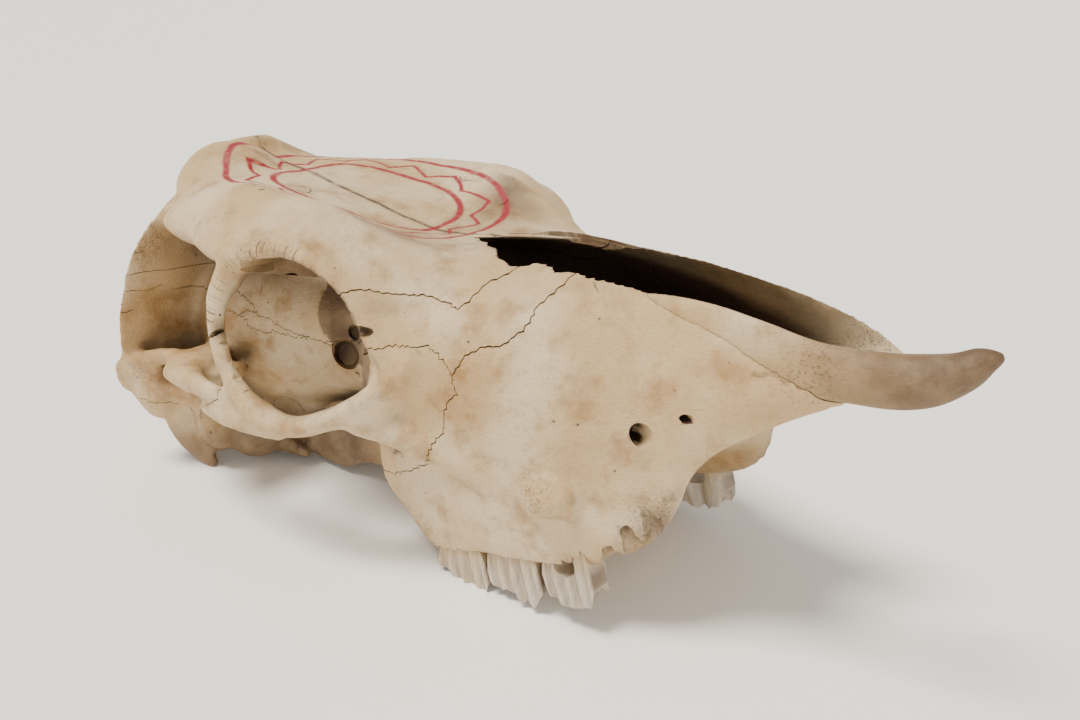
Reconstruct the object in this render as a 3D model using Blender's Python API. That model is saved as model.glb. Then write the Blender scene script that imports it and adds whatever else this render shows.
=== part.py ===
"""Skull of a young polled cow, without its lower jaw, nasal bones and left premaxilla.

The bones are modelled in the skull's own frame: millimetres, +X to the snout, +Y to the animal's left,
+Z up from the chewing surface, with X = 0 near the back of the occipital condyles. The whole skull is
then pitched snout up, so that it rests on its molars and its paracondylar processes as on a table.
"""

import math
import random

import bmesh
import bpy
from mathutils import Matrix, Vector

MM = 0.001
VOXEL = 1.8
SUTURE_GAP = 0.35
SIDE = 140.0
FACE_PASSES = 9
SLENDER_PASSES = 2
HOLLOW_PASSES = 2
PREMAXILLA_VOXEL = 1.2
BONE = (0.62, 0.5, 0.36)
DENTINE = (0.66, 0.58, 0.47)
SKIN_TRIANGLES = 6500
PREMAXILLA_TRIANGLES = 460
REST_PITCH = math.radians(17.2)
REST_POINT = (28.0, 49.9)

# Half outlines of the solid face, top of the midline to palate, as (half width, height) at each X.
FACE_SECTIONS = {
    150: ((0, 126), (28, 126), (44, 114), (52, 98), (54, 80), (54, 60), (52, 41), (44, 38), (30, 44), (0, 47)),
    163: ((0, 128), (30, 128), (47, 118), (57, 102), (60, 82), (56, 54), (55, 30), (45, 27), (30, 38), (0, 43)),
    178: ((0, 136), (34, 136), (56, 128), (67, 110), (68, 90), (60, 55), (57, 14), (44, 15), (32, 35), (0, 40)),
    205: ((0, 131), (32, 131), (52, 121), (66, 104), (68, 80), (63, 48), (58, 13), (42, 14), (32, 30), (0, 35)),
    235: ((0, 122), (29, 122), (47, 112), (60, 93), (64, 68), (62, 38), (57, 10), (41, 11), (32, 25), (0, 30)),
    262: ((0, 113), (26, 113), (41, 103), (51, 84), (54, 64), (53, 38), (53, 10), (39, 11), (30, 24), (0, 29)),
    283: ((0, 106), (25, 106), (36, 96), (43, 78), (46, 60), (45, 38), (45, 18), (33, 19), (27, 29), (0, 33)),
    295: ((0, 101), (25, 101), (34, 89), (40, 74), (42, 58), (41, 43), (39, 35), (31, 35), (24, 38), (0, 40)),
    307: ((0, 95.5), (25, 95.5), (33, 85), (38, 70), (39, 58), (37, 49), (34, 44), (27, 44), (19, 46), (0, 47)),
    325: ((0, 86.5), (25, 86.5), (31, 77), (34, 67), (34, 59), (32, 53), (28, 50), (22, 50), (15, 51), (0, 52)),
    345: ((0, 75), (24, 74), (28, 68), (30, 64), (29, 60), (26, 57), (22, 55), (16, 55), (8, 55), (0, 55)),
    357: ((0, 63), (22, 63), (26, 62), (28, 60), (27, 59), (25, 58), (22, 57), (16, 57), (8, 57), (0, 57)),
}
# Half outlines of the frontal roof: midline, forehead, bulge, edge, and its underside.
ROOF_SECTIONS = {
    31: ((0, 207), (13, 204), (23, 198), (29, 190), (29, 180), (20, 172), (0, 168)),
    45: ((0, 205), (22, 200), (38, 192.5), (49, 183), (54, 174), (36, 166), (0, 162)),
    58: ((0, 200), (25, 196), (45, 187.5), (60, 179), (66, 171), (42, 158), (0, 155)),
    72: ((0, 192), (28, 191), (50, 188), (66, 179), (72, 166), (42, 150), (0, 147)),
    90: ((0, 183), (30, 185), (54, 183.5), (69, 175), (75, 160), (38, 144), (0, 140)),
    115: ((0, 169), (32, 173), (58, 179), (75, 168), (83, 150), (34, 134), (0, 130)),
    135: ((0, 158), (34, 164), (60, 173), (79, 162), (87, 145), (32, 128), (0, 120)),
    155: ((0, 147), (35, 155), (60, 167), (79, 157), (87, 144), (31, 122), (0, 118)),
    171: ((0, 140), (34, 147), (58, 160), (73, 153), (81, 139), (30, 116), (0, 114)),
    188: ((0, 136), (30, 138), (50, 144), (64, 138), (72, 123), (28, 108), (0, 106)),
    215: ((0, 128), (28, 128), (40, 124), (56, 115), (52, 106), (26, 102), (0, 100)),
    238: ((0, 120), (24, 120), (33, 118), (42, 112), (40, 104), (20, 100), (0, 98)),
}
# Braincase and base of the skull: X, top, widest half width and its height, floor half width, floor height.
CORE_SECTIONS = {
    4: (168, 42, 115, 20, 66),
    25: (172, 46, 120, 23, 59),
    50: (165, 50, 118, 20, 60),
    75: (158, 47, 116, 16, 65),
    98: (150, 41, 114, 14, 67),
    118: (142, 35, 112, 13, 66),
    138: (136, 31, 108, 14, 62),
    158: (130, 32, 104, 18, 56),
    180: (126, 38, 96, 26, 46),
}
# Plate at the back of the skull, by height: half width, X of its back on the midline and at its edge.
SHIELD_LEVELS = {
    66: (20, 10, 14),
    78: (50, 6, 6),
    90: (74, 2, 3),
    101: (84, 0, -1),
    110: (84, 2, 4),
    119: (84, 6, 11),
    133: (84, 12, 17),
    147: (82, 17, 26),
    160: (79, 22, 36),
    172: (72, 27, 44),
    188: (51, 31, 50),
    202: (25, 33, 50),
    210: (11, 33, 46),
}
# Nasal chamber, half outlines at each X.
CHAMBER_SECTIONS = {
    166: ((0, 122), (12, 120), (17, 110), (20, 96), (17, 76), (10, 68), (0, 66)),
    186: ((0, 129), (20, 126.5), (29, 112), (31, 96), (26, 72), (16, 58), (0, 56)),
    204: ((0, 132), (25, 122), (34, 110), (38, 94), (32, 68), (20, 50), (0, 48)),
    230: ((0, 140), (26.5, 119), (39.5, 107.5), (49, 90), (43, 62), (24, 46), (0, 42)),
    265: ((0, 140), (24.5, 112), (35, 99.5), (44.5, 80), (41, 58), (25, 43), (0, 38)),
    300: ((0, 140), (23.5, 100), (30, 86), (34.5, 72), (32, 61), (20, 54), (0, 51)),
    320: ((0, 140), (23, 88), (28.5, 78), (30.5, 67), (27, 61), (16, 58), (0, 57)),
    336: ((0, 140), (22, 84), (26, 72), (26.5, 65), (23, 60), (14, 50), (0, 38)),
    350: ((0, 140), (21, 84), (24.5, 70), (25, 64), (22, 58), (14, 44), (0, 26)),
    372: ((0, 140), (20, 84), (24, 70), (25, 63), (24, 56), (20, 40), (0, 20)),
}
# Bones as (X, Z) outlines of the domain cut from the skin, with the |Y| where it begins and ends. They are
# cut in this order, and each outline runs on into the bones that are gone by then.
ZYGOMATIC = (
    ((70, 56), (76, 87), (92, 89), (108, 92), (112, 97), (107, 104), (102, 119), (136, 119), (150, 108), (172, 102),
     (180, 100), (189, 102), (198, 101), (206, 100), (213, 99), (219, 93), (223, 87.5), (223, 80), (218, 78),
     (210, 66.5), (202, 58), (195, 52), (180, 49), (164, 45), (154, 49), (140, 46), (110, 56)), 48, SIDE,
)
LACRIMAL = (
    ((166, 92), (200, 90), (214, 84), (222, 86), (228, 94), (234, 95), (240, 95), (245, 96), (249, 100),
     (251, 106), (256, 109), (260, 118), (248, 130), (236, 119), (229, 116), (223.5, 110.7), (212, 116), (204, 120),
     (196, 122.6), (184, 125), (176, 118), (170, 110)), 14, SIDE,
)
FRONTAL = (
    ((-60, 172), (25, 160), (38, 152), (50, 144), (62, 135), (75, 126), (85, 119), (95, 112), (110, 103), (130, 100),
     (150, 101), (168, 100), (184, 110), (212, 108), (223.5, 106), (240, 110), (250, 132), (250, 260),
     (-60, 260)), 0, SIDE,
)
TEMPORAL = (
    ((-60, 99), (6, 97), (28, 84), (34, 66), (36, 40), (62, 40), (64, 66), (100, 74), (122, 80), (124, 97),
     (100, 108), (84, 112), (72, 119), (60, 125), (49, 131), (40, 138), (25, 147), (10, 152), (-60, 160)), 30, SIDE,
)
OCCIPITAL = (((-60, 20), (61, 20), (61, 76), (30, 90), (14, 98), (10, 120), (10, 152), (-60, 160)), 0, SIDE)
PALATINE = (((61.5, 20), (196, 20), (196, 62), (160, 72), (120, 66), (61.5, 62)), 0, 35)
SPHENOID = (((20, 20), (180, 20), (172, 110), (95, 122), (20, 126)), 0, SIDE)
MAXILLA = (((150, -20), (420, -20), (420, 160), (176, 160), (174, 100), (160, 86), (150, 60)), 0, SIDE)


def clear_scene():
    """Remove every object of the scene."""
    for obj in list(bpy.data.objects):
        bpy.data.objects.remove(obj)


def spline(values, steps):
    """Points on a smooth curve through the vectors in values, steps to each span."""
    points = [Vector(value) for value in values]
    ends = [2 * points[0] - points[1], *points, 2 * points[-1] - points[-2]]
    found = []
    for before, start, end, after in zip(ends, ends[1:], ends[2:], ends[3:]):
        for step in range(steps):
            found.append(cubic(before, start, end, after, step / steps))
    return [*found, points[-1]]


def cubic(before, start, end, after, t):
    """The Catmull-Rom point between start and end at the share t."""
    return 0.5 * (
        2 * start
        + (end - before) * t
        + (2 * before - 5 * start + 4 * end - after) * t**2
        + (3 * start - before - 3 * end + after) * t**3
    )


def linked(name, mesh):
    """A new object with the mesh, in the scene."""
    obj = bpy.data.objects.new(name, mesh)
    bpy.context.scene.collection.objects.link(obj)
    return obj


def mesh_object(name, rings):
    """A closed tube through rings of points in millimetres, each ring with as many points."""
    mesh = bpy.data.meshes.new(name)
    shape = bmesh.new()
    rows = [[shape.verts.new(Vector(point) * MM) for point in ring] for ring in rings]
    for first, second in zip(rows, rows[1:]):
        for i in range(len(first)):
            j = (i + 1) % len(first)
            shape.faces.new((first[i], first[j], second[j], second[i]))
    shape.faces.new(rows[0])
    shape.faces.new(reversed(rows[-1]))
    bmesh.ops.recalc_face_normals(shape, faces=shape.faces)
    shape.to_mesh(mesh)
    shape.free()
    return linked(name, mesh)


def full_ring(x, half):
    """The closed outline at x that a half outline and its mirror image make, smoothed."""
    loop = [Vector(point) for point in half]
    loop += [Vector((-y, z)) for y, z in reversed(half[1:-1])]
    count = len(loop)
    points = []
    for i in range(count):
        four = [loop[(i + k) % count] for k in (-1, 0, 1, 2)]
        for step in range(3):
            y, z = cubic(*four, step / 3)
            points.append(Vector((x, y, z)))
    return points


def loft(name, sections, steps=4):
    """A closed body through half outlines given at each X."""
    rings = [full_ring(x, half) for x, half in sections.items()]
    rails = [spline(rail, steps) for rail in zip(*rings)]
    return mesh_object(name, list(zip(*rails)))


def bar(name, path, up=(0, 0, 1), steps=4, grow=0.0, count=16):
    """A rounded bar along path, whose points are (x, y, z, half width, half height)."""
    line = spline(path, steps)
    centres = [Vector(point[:3]) for point in line]
    rings = []
    for i, centre in enumerate(centres):
        ahead = centres[min(i + 1, len(centres) - 1)] - centres[max(i - 1, 0)]
        across = ahead.cross(Vector(up)).normalized()
        upward = across.cross(ahead).normalized()
        wide, high = line[i][3] + grow, line[i][4] + grow
        angles = [2 * math.pi * k / count for k in range(count)]
        rings.append([centre + across * wide * math.cos(a) + upward * high * math.sin(a) for a in angles])
    return mesh_object(name, rings)


def pad_ends(path, share=0.45):
    """The path with a small ring beyond each end, so that the bar ends rounded."""
    padded = []
    for end, inner in ((path[0], path[1]), (path[-1], path[-2])):
        away = (Vector(end[:3]) - Vector(inner[:3])).normalized() * min(end[3], end[4]) * 0.7
        padded.append((*(Vector(end[:3]) + away), end[3] * share, end[4] * share))
    return [padded[0], *path, padded[1]]


def ball(name, centre, radii, turn=(0, 0, 0)):
    """An ellipsoid with half sizes radii, turned by degrees about X, Y and Z."""
    mesh = bpy.data.meshes.new(name)
    shape = bmesh.new()
    bmesh.ops.create_uvsphere(shape, u_segments=20, v_segments=12, radius=1)
    place = Matrix.Translation(Vector(centre) * MM)
    for axis, degrees in zip("ZYX", reversed(turn)):
        place = place @ Matrix.Rotation(math.radians(degrees), 4, axis)
    place = place @ Matrix.Diagonal((*(Vector(radii) * MM), 1))
    bmesh.ops.transform(shape, matrix=place, verts=shape.verts)
    shape.to_mesh(mesh)
    shape.free()
    return linked(name, mesh)


def prism(name, outline, low, high, axis="Y"):
    """A closed prism over a flat outline, (x, z) for axis Y and (x, y) for axis Z, from low to high."""
    def at(a, b, depth):
        return (a, depth, b) if axis == "Y" else (a, b, depth)

    return mesh_object(name, [[at(a, b, low) for a, b in outline], [at(a, b, high) for a, b in outline]])


def widened(outline, gap):
    """The flat outline moved outwards by gap."""
    points = [Vector(point) for point in outline]
    count = len(points)
    area = sum(points[i - 1].x * points[i].y - points[i].x * points[i - 1].y for i in range(count))
    turn = 1 if area > 0 else -1
    found = []
    for i, point in enumerate(points):
        ahead = (points[(i + 1) % count] - point).normalized()
        behind = (point - points[i - 1]).normalized()
        normal = (Vector((ahead.y, -ahead.x)) + Vector((behind.y, -behind.x))) * turn
        reach = gap / max(0.5, normal.length / 2)
        found.append(tuple(point + normal.normalized() * reach))
    return found


def mirrored(obj, name):
    """A copy of obj on the other side of the plane Y = 0."""
    mesh = obj.data.copy()
    mesh.transform(Matrix.Diagonal((1, -1, 1, 1)))
    mesh.flip_normals()
    return linked(name, mesh)


def both(obj):
    """The object and its mirror image."""
    return [obj, mirrored(obj, obj.name + "_far")]


def apply_modifiers(obj):
    """Make the evaluated mesh the object's own."""
    graph = bpy.context.evaluated_depsgraph_get()
    mesh = bpy.data.meshes.new_from_object(obj.evaluated_get(graph))
    obj.modifiers.clear()
    old = obj.data
    obj.data = mesh
    bpy.data.meshes.remove(old)


def joined(name, pieces):
    """One object that holds the meshes of all pieces."""
    shape = bmesh.new()
    for piece in pieces:
        shape.from_mesh(piece.data)
        bpy.data.objects.remove(piece)
    mesh = bpy.data.meshes.new(name)
    shape.to_mesh(mesh)
    shape.free()
    return linked(name, mesh)


def soften(obj, voxel, passes):
    """Rebuild the skin of obj on a grid and smooth it."""
    remesh = obj.modifiers.new("skin", "REMESH")
    remesh.mode = "VOXEL"
    remesh.voxel_size = voxel * MM
    smooth = obj.modifiers.new("smooth", "SMOOTH")
    smooth.factor = 0.5
    smooth.iterations = passes
    apply_modifiers(obj)


def thin_out(obj, triangles):
    """Reduce the skin of obj to about so many triangles."""
    count = sum(len(face.vertices) - 2 for face in obj.data.polygons)
    if count > triangles:
        decimate = obj.modifiers.new("fewer", "DECIMATE")
        decimate.ratio = triangles / count
        apply_modifiers(obj)
        shape = bmesh.new()
        shape.from_mesh(obj.data)
        fins = True
        while fins:
            fins = [face for face in shape.faces if any(len(edge.link_faces) == 1 for edge in face.edges)]
            bmesh.ops.delete(shape, geom=fins, context="FACES")
        shape.to_mesh(obj.data)
        shape.free()


def boolean(obj, other, operation, keep=False):
    """Apply one Boolean of obj with other, which is then removed.

    The solver is MANIFOLD, because EXACT takes minutes on skins with as many faces as these.
    """
    modifier = obj.modifiers.new(operation.lower(), "BOOLEAN")
    modifier.operation = operation
    modifier.solver = "MANIFOLD"
    modifier.object = other
    apply_modifiers(obj)
    if not keep:
        bpy.data.objects.remove(other)


def core_half(top, width, middle, floor_width, floor):
    """Half outline of the braincase from its few sizes."""
    upper = middle + (top - middle) * 0.7
    lower = middle - (middle - floor) * 0.6
    return (
        (0, top), (width * 0.62, upper), (width, middle), (floor_width + (width - floor_width) * 0.55, lower),
        (floor_width, floor + 5), (floor_width * 0.6, floor), (0, floor),
    )


def occipital_shield():
    """The upright plate at the back of the skull."""
    rings = []
    for z, (half, back, edge) in SHIELD_LEVELS.items():
        ring = []
        for i in range(28):
            a = 2 * math.pi * i / 28
            share = math.copysign(abs(math.cos(a)) ** 0.8, math.cos(a))
            flat = share * share
            depth = 10 * (1 - flat) + 3
            middle = (back + 10) * (1 - flat) + (edge + 3) * flat
            ring.append((middle + depth * math.copysign(abs(math.sin(a)) ** 0.8, math.sin(a)), half * share, z))
        rings.append(ring)
    rails = [spline(rail, 3) for rail in zip(*rings)]
    return mesh_object("shield", list(zip(*rails)))


def skull_body():
    """The heavy parts of the skull as one smooth skin."""
    core = loft("core", {x: core_half(*sizes) for x, sizes in CORE_SECTIONS.items()})
    horn_bud = ball("horn_bud", (54, -25, 181), (27, 27, 25))
    pieces = [loft("face", FACE_SECTIONS), loft("roof", ROOF_SECTIONS), core, occipital_shield(), horn_bud]
    rounded = (
        ball("condyle", (3, -25, 80), (15, 16, 19), (20, -20, 15)),
        ball("bulla", (41, -37, 62), (17, 15, 14), (0, 14, 0)),
        ball("bulla_edge", (34, -53, 71), (13, 12, 15), (0, 20, 0)),
        ball("basilar_part", (46, -14, 61), (27, 14, 12), (0, 8, 0)),
        ball("mastoid", (14, -66, 96), (15, 14, 18)),
        ball("meatus", (34, -58, 92), (12, 13, 11)),
        ball("tubercle", (246, -57, 38), (17, 8, 8), (0, 8, -14)),
        bar("ridge", pad_ends([
            (168, -71, 74, 6, 7), (188, -66, 66, 6, 8), (212, -62, 54, 5, 8), (232, -59, 44, 5, 7),
        ])),
        bar("arch_root", pad_ends([
            (40, -44, 104, 14, 8), (50, -60, 106, 15, 7), (60, -74, 105, 14, 6), (72, -83, 102, 9, 6),
        ])),
        bar("crest", pad_ends([
            (4, -78, 108, 5, 7), (20, -75, 111, 5, 6), (38, -71, 111, 5, 5), (56, -75, 108, 5, 5),
        ])),
        bar("upper_rim", pad_ends([
            (124, -83, 138, 5, 6), (136, -83, 146.5, 6, 3.5), (150, -84, 148.5, 7, 3.2), (164, -82, 146, 7, 3.5),
            (175, -77, 138, 7, 5), (182, -72, 128, 6, 6), (186, -68, 114, 6, 7), (190, -66, 102, 6, 8),
            (196, -64, 92, 6, 8),
        ]), up=(0, -1, 0.2)),
        bar("front_rim", pad_ends([
            (206, -62, 94, 6, 9), (192, -66, 86, 6, 10), (178, -72, 80, 6, 10), (164, -80, 77, 5, 9),
            (150, -85, 76, 5, 8.5), (138, -88, 79, 5, 8.5), (129, -90, 87, 5, 7),
        ]), up=(0, -1, 0.2)),
    )
    for piece in rounded:
        pieces += both(piece)
    body = joined("skull", pieces)
    soften(body, VOXEL, FACE_PASSES)
    return body


def slender_parts():
    """Processes and plates too thin for the heavy smoothing."""
    parts = (
        bar("paracondylar", pad_ends([
            (15, -61, 96, 9, 14), (14, -61, 82, 7.5, 13), (16.5, -61, 68, 5.5, 11), (22, -59.5, 58, 3.8, 7.5),
            (28, -58, 51.5, 3, 4),
        ]), up=(1, 0, 0)),
        bar("muscular_process", pad_ends([(44, -33, 58, 6, 7), (58, -30, 50, 3.5, 4.5), (66, -28, 45, 2.2, 2.4)])),
        bar("arch_process", pad_ends([
            (66, -78, 104, 8, 6), (78, -85, 101, 6, 6), (92, -89, 97.5, 4, 5.5), (106, -91, 94.5, 3, 4.2),
            (116, -91, 92.5, 2.2, 2.8),
        ])),
        ball("joint_face", (66, -66, 97), (12, 20, 6), (0, -8, 12)),
        bar("cheek_process", pad_ends([
            (140, -88, 78, 4, 7), (124, -90, 80.5, 3.5, 6.5), (108, -91, 83.5, 3, 5), (96, -90, 86, 2.6, 4),
            (86, -88, 88.5, 2.2, 3),
        ])),
        bar("eye_bar", pad_ends([
            (134, -89, 82, 5, 8), (124, -90, 90, 5.5, 5.5), (118, -90, 100, 5.5, 3.8), (116, -90, 110, 5.5, 3.5),
            (116, -89, 122, 5.5, 3.8), (119.5, -87, 133, 6, 4.6), (126, -83, 142, 6, 6.5), (134, -79, 149, 7, 7),
        ]), up=(0, -1, 0.2)),
        bar("plate", pad_ends([
            (174, -26, 46, 4, 15), (155, -24, 47, 2.6, 15), (135, -22, 50, 2.4, 17), (112, -21, 53, 2.2, 18),
            (92, -20, 56, 2.2, 16), (80, -20.5, 57, 2.2, 12),
        ])),
        bar("hook", pad_ends([(106, -21, 48, 2.4, 11), (93, -20.5, 44, 2.3, 8), (82, -20.5, 38.5, 2.2, 4.5)])),
        bar("hook_back", pad_ends([(82, -20.5, 40, 2.2, 5), (70, -21, 48, 2.4, 8), (54, -22, 57, 3, 9)])),
    )
    return [side for part in parts for side in both(part)]


def eye_sockets():
    """Cutters of the eye sockets: a bowl that narrows inwards and opens below."""
    bowl = bar("socket", [
        (167, -118, 114.5, 32.5, 32.5), (159, -92, 113.5, 31, 31.5), (151.5, -76, 111.5, 29.5, 31),
        (145, -60, 109, 26.5, 28.5),
        (136, -46, 106, 20, 22), (130, -38, 105, 10, 12),
    ])
    floor = bar("below", [(148, -62, 84, 12, 14), (142, -52, 60, 13, 15), (138, -50, 40, 13, 15)], up=(1, 0, 0))
    return both(bowl) + both(floor)


def ragged(points, seed, reach):
    """The outline with small random steps sideways along its straight stretches."""
    dice = random.Random(seed)
    found = []
    for start, end in zip(points, points[1:]):
        a, b = Vector(start), Vector(end)
        pieces = max(1, round((b - a).length / 5))
        side = Vector((b.y - a.y, a.x - b.x)).normalized()
        for k in range(pieces):
            found.append(tuple(a.lerp(b, k / pieces) + side * dice.uniform(-reach, reach)))
    return [*found, tuple(points[-1])]


def nose_cutters():
    """The nasal chamber, the window left by the lost nasal bones and the passage behind."""
    near = ragged([(194, 0), (204, -9), (212, -14), (222, -24), (233, -28), (243, -25)], 3, 1.0)
    near += [(262, -25.5), (285, -24.5), (320, -23), (345, -22), (376, -22)]
    far = ragged([(376, 22), (350, 22), (320, 23.5), (286, 24.5), (262, 26), (243, 27)], 5, 0.7)
    far += ragged([(243, 27), (233, 28), (222, 24), (213, 15), (204, 8), (197, 4)], 7, 1.2)
    passage = bar("passage", [
        (80, 0, 40, 15, 16), (110, 0, 44, 16, 20), (140, 0, 46, 18, 15), (170, 0, 56, 15, 12), (190, 0, 72, 13, 12),
    ])
    return [loft("chamber", CHAMBER_SECTIONS), prism("window", near + far, 94, 200, "Z"), passage]


def hole_cutters():
    """Foramina of face, orbit and forehead, the empty tooth sockets and the hole for the spinal cord."""
    holes = (
        bar("infraorbital", [(302, -53, 51, 4, 5), (284, -43, 56, 4.2, 5.5), (264, -36, 58, 4, 5)]),
        bar("second_hole", [(312, -46, 56, 2, 2), (301, -38, 60, 2.4, 2), (292, -34, 62, 1.5, 1.5)]),
        bar("ethmoid_hole", [(140, -52, 112, 4, 4), (130, -34, 108, 4, 4), (124, -24, 106, 3, 3)]),
        bar("optic_hole", [(132, -46, 98, 6.5, 8), (118, -32, 96, 5.5, 7), (108, -20, 95, 4, 5)]),
        bar("upper_orbit_hole", [(124, -58, 138, 3, 3), (112, -44, 136, 3.2, 3.2), (106, -38, 135, 2.5, 2.5)]),
        bar("tear_hole", [(176, -70, 104, 3, 3.5), (190, -62, 100, 3, 3.5), (202, -54, 96, 2, 2)]),
        bar("first_socket", [(262, -52, 2, 4, 4), (267, -50, 16, 4, 4), (270, -48, 28, 2.5, 2.5)]),
        bar("second_socket", [(277, -50, 4, 4, 4), (279, -46, 20, 4, 4), (281, -43, 32, 2.5, 2.5)]),
        bar("third_socket", [(293, -44, 14, 4, 4), (291, -40, 30, 3.8, 3.8), (290, -38, 42, 2.5, 2.5)]),
    )
    magnum = bar("foramen_magnum", [(-30, 0, 92, 17, 15), (5, 0, 94, 17, 15), (30, 0, 98, 15, 14), (48, 0, 102, 8, 8)])
    return [side for hole in holes for side in both(hole)] + [magnum]


def premaxilla(grow=0.0):
    """The one premaxilla left, the right one."""
    body = bar("premaxilla_right", pad_ends([
        (283, -25, 99.5, 2.4, 3.4), (296, -26, 94.5, 2.8, 6.5), (312, -26.5, 87, 3.2, 9), (328, -26.5, 78, 3.4, 10.5),
        (345, -26, 70.5, 4.2, 9.5), (358, -24, 66.5, 6, 9), (369, -20.8, 63.3, 7.5, 9), (378, -17.6, 62.2, 8, 8.4),
        (386, -14, 63.2, 7, 6.6), (392, -11, 65.8, 4.6, 4.4), (397.5, -8.4, 68.2, 2.2, 2.2),
    ]), grow=grow, count=24)
    soften(body, PREMAXILLA_VOXEL, 3)
    thin_out(body, PREMAXILLA_TRIANGLES)
    return body


def tooth(name, start, end, buccal, lingual, tips, top, grow=0.0):
    """A cheek tooth between X start and end: ridged cheek side, uneven worn edge, root up to top."""
    length, count = end - start, 22

    def cheek_side(share):
        ridges = ((0.04, 1.6), (0.27, 1.0), (0.52, 1.9), (0.77, 1.0), (0.96, 1.5))
        return buccal - 0.5 + sum(high * math.exp(-(((share - at) / 0.06) ** 2)) for at, high in ridges)

    def tongue_side(share):
        cleft = 2.4 * abs(math.cos(math.pi * share * 2)) ** 3 * (0.2 < share < 0.8)
        return lingual + cleft + 5.0 * (2 * share - 1) ** 6

    def worn_edge(share):
        for (here, low), (there, high) in zip(tips, tips[1:]):
            if share <= there:
                return low + (high - low) * (share - here) / (there - here)
        return tips[-1][1]

    outline = []
    for k in range(count):
        share = k / (count - 1)
        outline.append((share, cheek_side(share), 1))
    for k in range(12):
        share = 1 - (k + 0.5) / 12
        outline.append((share, tongue_side(share), 0))
    middle = (buccal + lingual) / 2
    shapes = ((top, 0.72), (16.0, 0.86), (7.0, 0.98), (None, 0.94), (None, 0.5))
    rings = []
    for level, (height, scale) in enumerate(shapes):
        ring = []
        for share, side, cheek in outline:
            x = start + length / 2 + (share - 0.5) * (length * scale + 2 * grow)
            y = middle + (side - middle) * scale + math.copysign(grow, side - middle)
            hollow = (2.8 if level == len(shapes) - 1 else 0) + (0 if cheek else 1.6)
            z = height if height is not None else min(worn_edge(share) + hollow, 6.0) - grow
            ring.append((x, -y, z))
        rings.append(ring)
    return mesh_object(name, rings)


# Cheek teeth: X start and end, |Y| of cheek and tongue side, (share, Z) points of the worn edge, root top.
TEETH = {
    "dp4": (234.4, 258.6, 55.5, 42.0, (
        (0, -2), (0.08, -4.5), (0.25, -7), (0.42, -9), (0.5, -7.2), (0.64, -8.8), (0.73, -7), (0.86, -8),
        (0.95, -5), (1, -1)), 33.0),
    "m1": (206.4, 234.0, 57.0, 41.5, (
        (0, 0), (0.1, -2), (0.22, -3.4), (0.3, -2.5), (0.4, -4.8), (0.47, -4), (0.58, -8.4), (0.66, -6.2),
        (0.8, -9.4), (0.92, -6), (1, -3.5)), 33.0),
    "m2": (178.5, 206.0, 57.0, 41.5, (
        (0, 5.5), (0.12, 4), (0.3, 0.5), (0.48, -4), (0.56, -2.2), (0.62, -3.8), (0.8, -6.3), (0.93, -5),
        (1, -1)), 36.0),
}


def whole_skull():
    """The skull as one closed skin, before its bones are parted."""
    skull = joined("skull", [skull_body(), *slender_parts()])
    soften(skull, VOXEL, SLENDER_PASSES)
    for cutter in eye_sockets() + nose_cutters():
        boolean(skull, cutter, "DIFFERENCE")
    soften(skull, VOXEL, HOLLOW_PASSES)
    for cutter in hole_cutters():
        boolean(skull, cutter, "DIFFERENCE")
    thin_out(skull, SKIN_TRIANGLES)
    largest(skull)
    return skull


def largest(obj):
    """Keep only the largest closed skin of obj."""
    shape = bmesh.new()
    shape.from_mesh(obj.data)
    left = set(shape.verts)
    groups = []
    while left:
        stack = [left.pop()]
        group = set(stack)
        while stack:
            for edge in stack.pop().link_edges:
                for vert in edge.verts:
                    if vert in left:
                        left.remove(vert)
                        group.add(vert)
                        stack.append(vert)
        groups.append(group)
    groups.sort(key=len, reverse=True)
    bmesh.ops.delete(shape, geom=[vert for group in groups[1:] for vert in group], context="VERTS")
    shape.to_mesh(obj.data)
    shape.free()


def take(rest, name, domain, side):
    """Cut one bone out of rest: side -1 is the right, 1 the left and 0 both at once."""
    outline, inner, outer = domain
    low, high = (-outer, outer) if side == 0 else (inner, outer)
    if side < 0:
        low, high = -high, -low
    cutter = prism("cutter", outline, low, high)
    piece = linked(name, rest.data.copy())
    boolean(piece, cutter, "INTERSECT")
    grown = prism("grown", widened(outline, SUTURE_GAP), low - SUTURE_GAP, high + SUTURE_GAP)
    boolean(rest, grown, "DIFFERENCE")
    return piece


def bones(skull):
    """Part the skull at its sutures and fit the premaxilla and the teeth."""
    found = {}
    for name, domain in (("zygomatic", ZYGOMATIC), ("lacrimal", LACRIMAL), ("frontal", FRONTAL), ("temporal", TEMPORAL)):
        for side, word in ((-1, "right"), (1, "left")):
            found[f"{name}_{word}"] = take(skull, f"{name}_{word}", domain, side)
    found["occipital"] = take(skull, "occipital", OCCIPITAL, 0)
    for name, domain in (("palatine", PALATINE), ("maxilla", MAXILLA)):
        for side, word in ((-1, "right"), (1, "left")):
            found[f"{name}_{word}"] = take(skull, f"{name}_{word}", domain, side)
    found["sphenoid"] = take(skull, "sphenoid", SPHENOID, 0)
    found["parietal"] = skull
    skull.name = "parietal"
    boolean(found["maxilla_right"], premaxilla(SUTURE_GAP), "DIFFERENCE")
    found["premaxilla_right"] = premaxilla()
    for short, sizes in TEETH.items():
        right = tooth(f"tooth_{short}_right", *sizes)
        found[right.name] = right
        left = mirrored(right, f"tooth_{short}_left")
        found[left.name] = left
        socket = tooth("socket", *sizes, grow=SUTURE_GAP)
        for part, word in ((socket, "right"), (mirrored(socket, "socket_left"), "left")):
            boolean(found[f"maxilla_{word}"], part, "DIFFERENCE", keep=True)
            boolean(found[f"palatine_{word}"], part, "DIFFERENCE")
    return found


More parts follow.
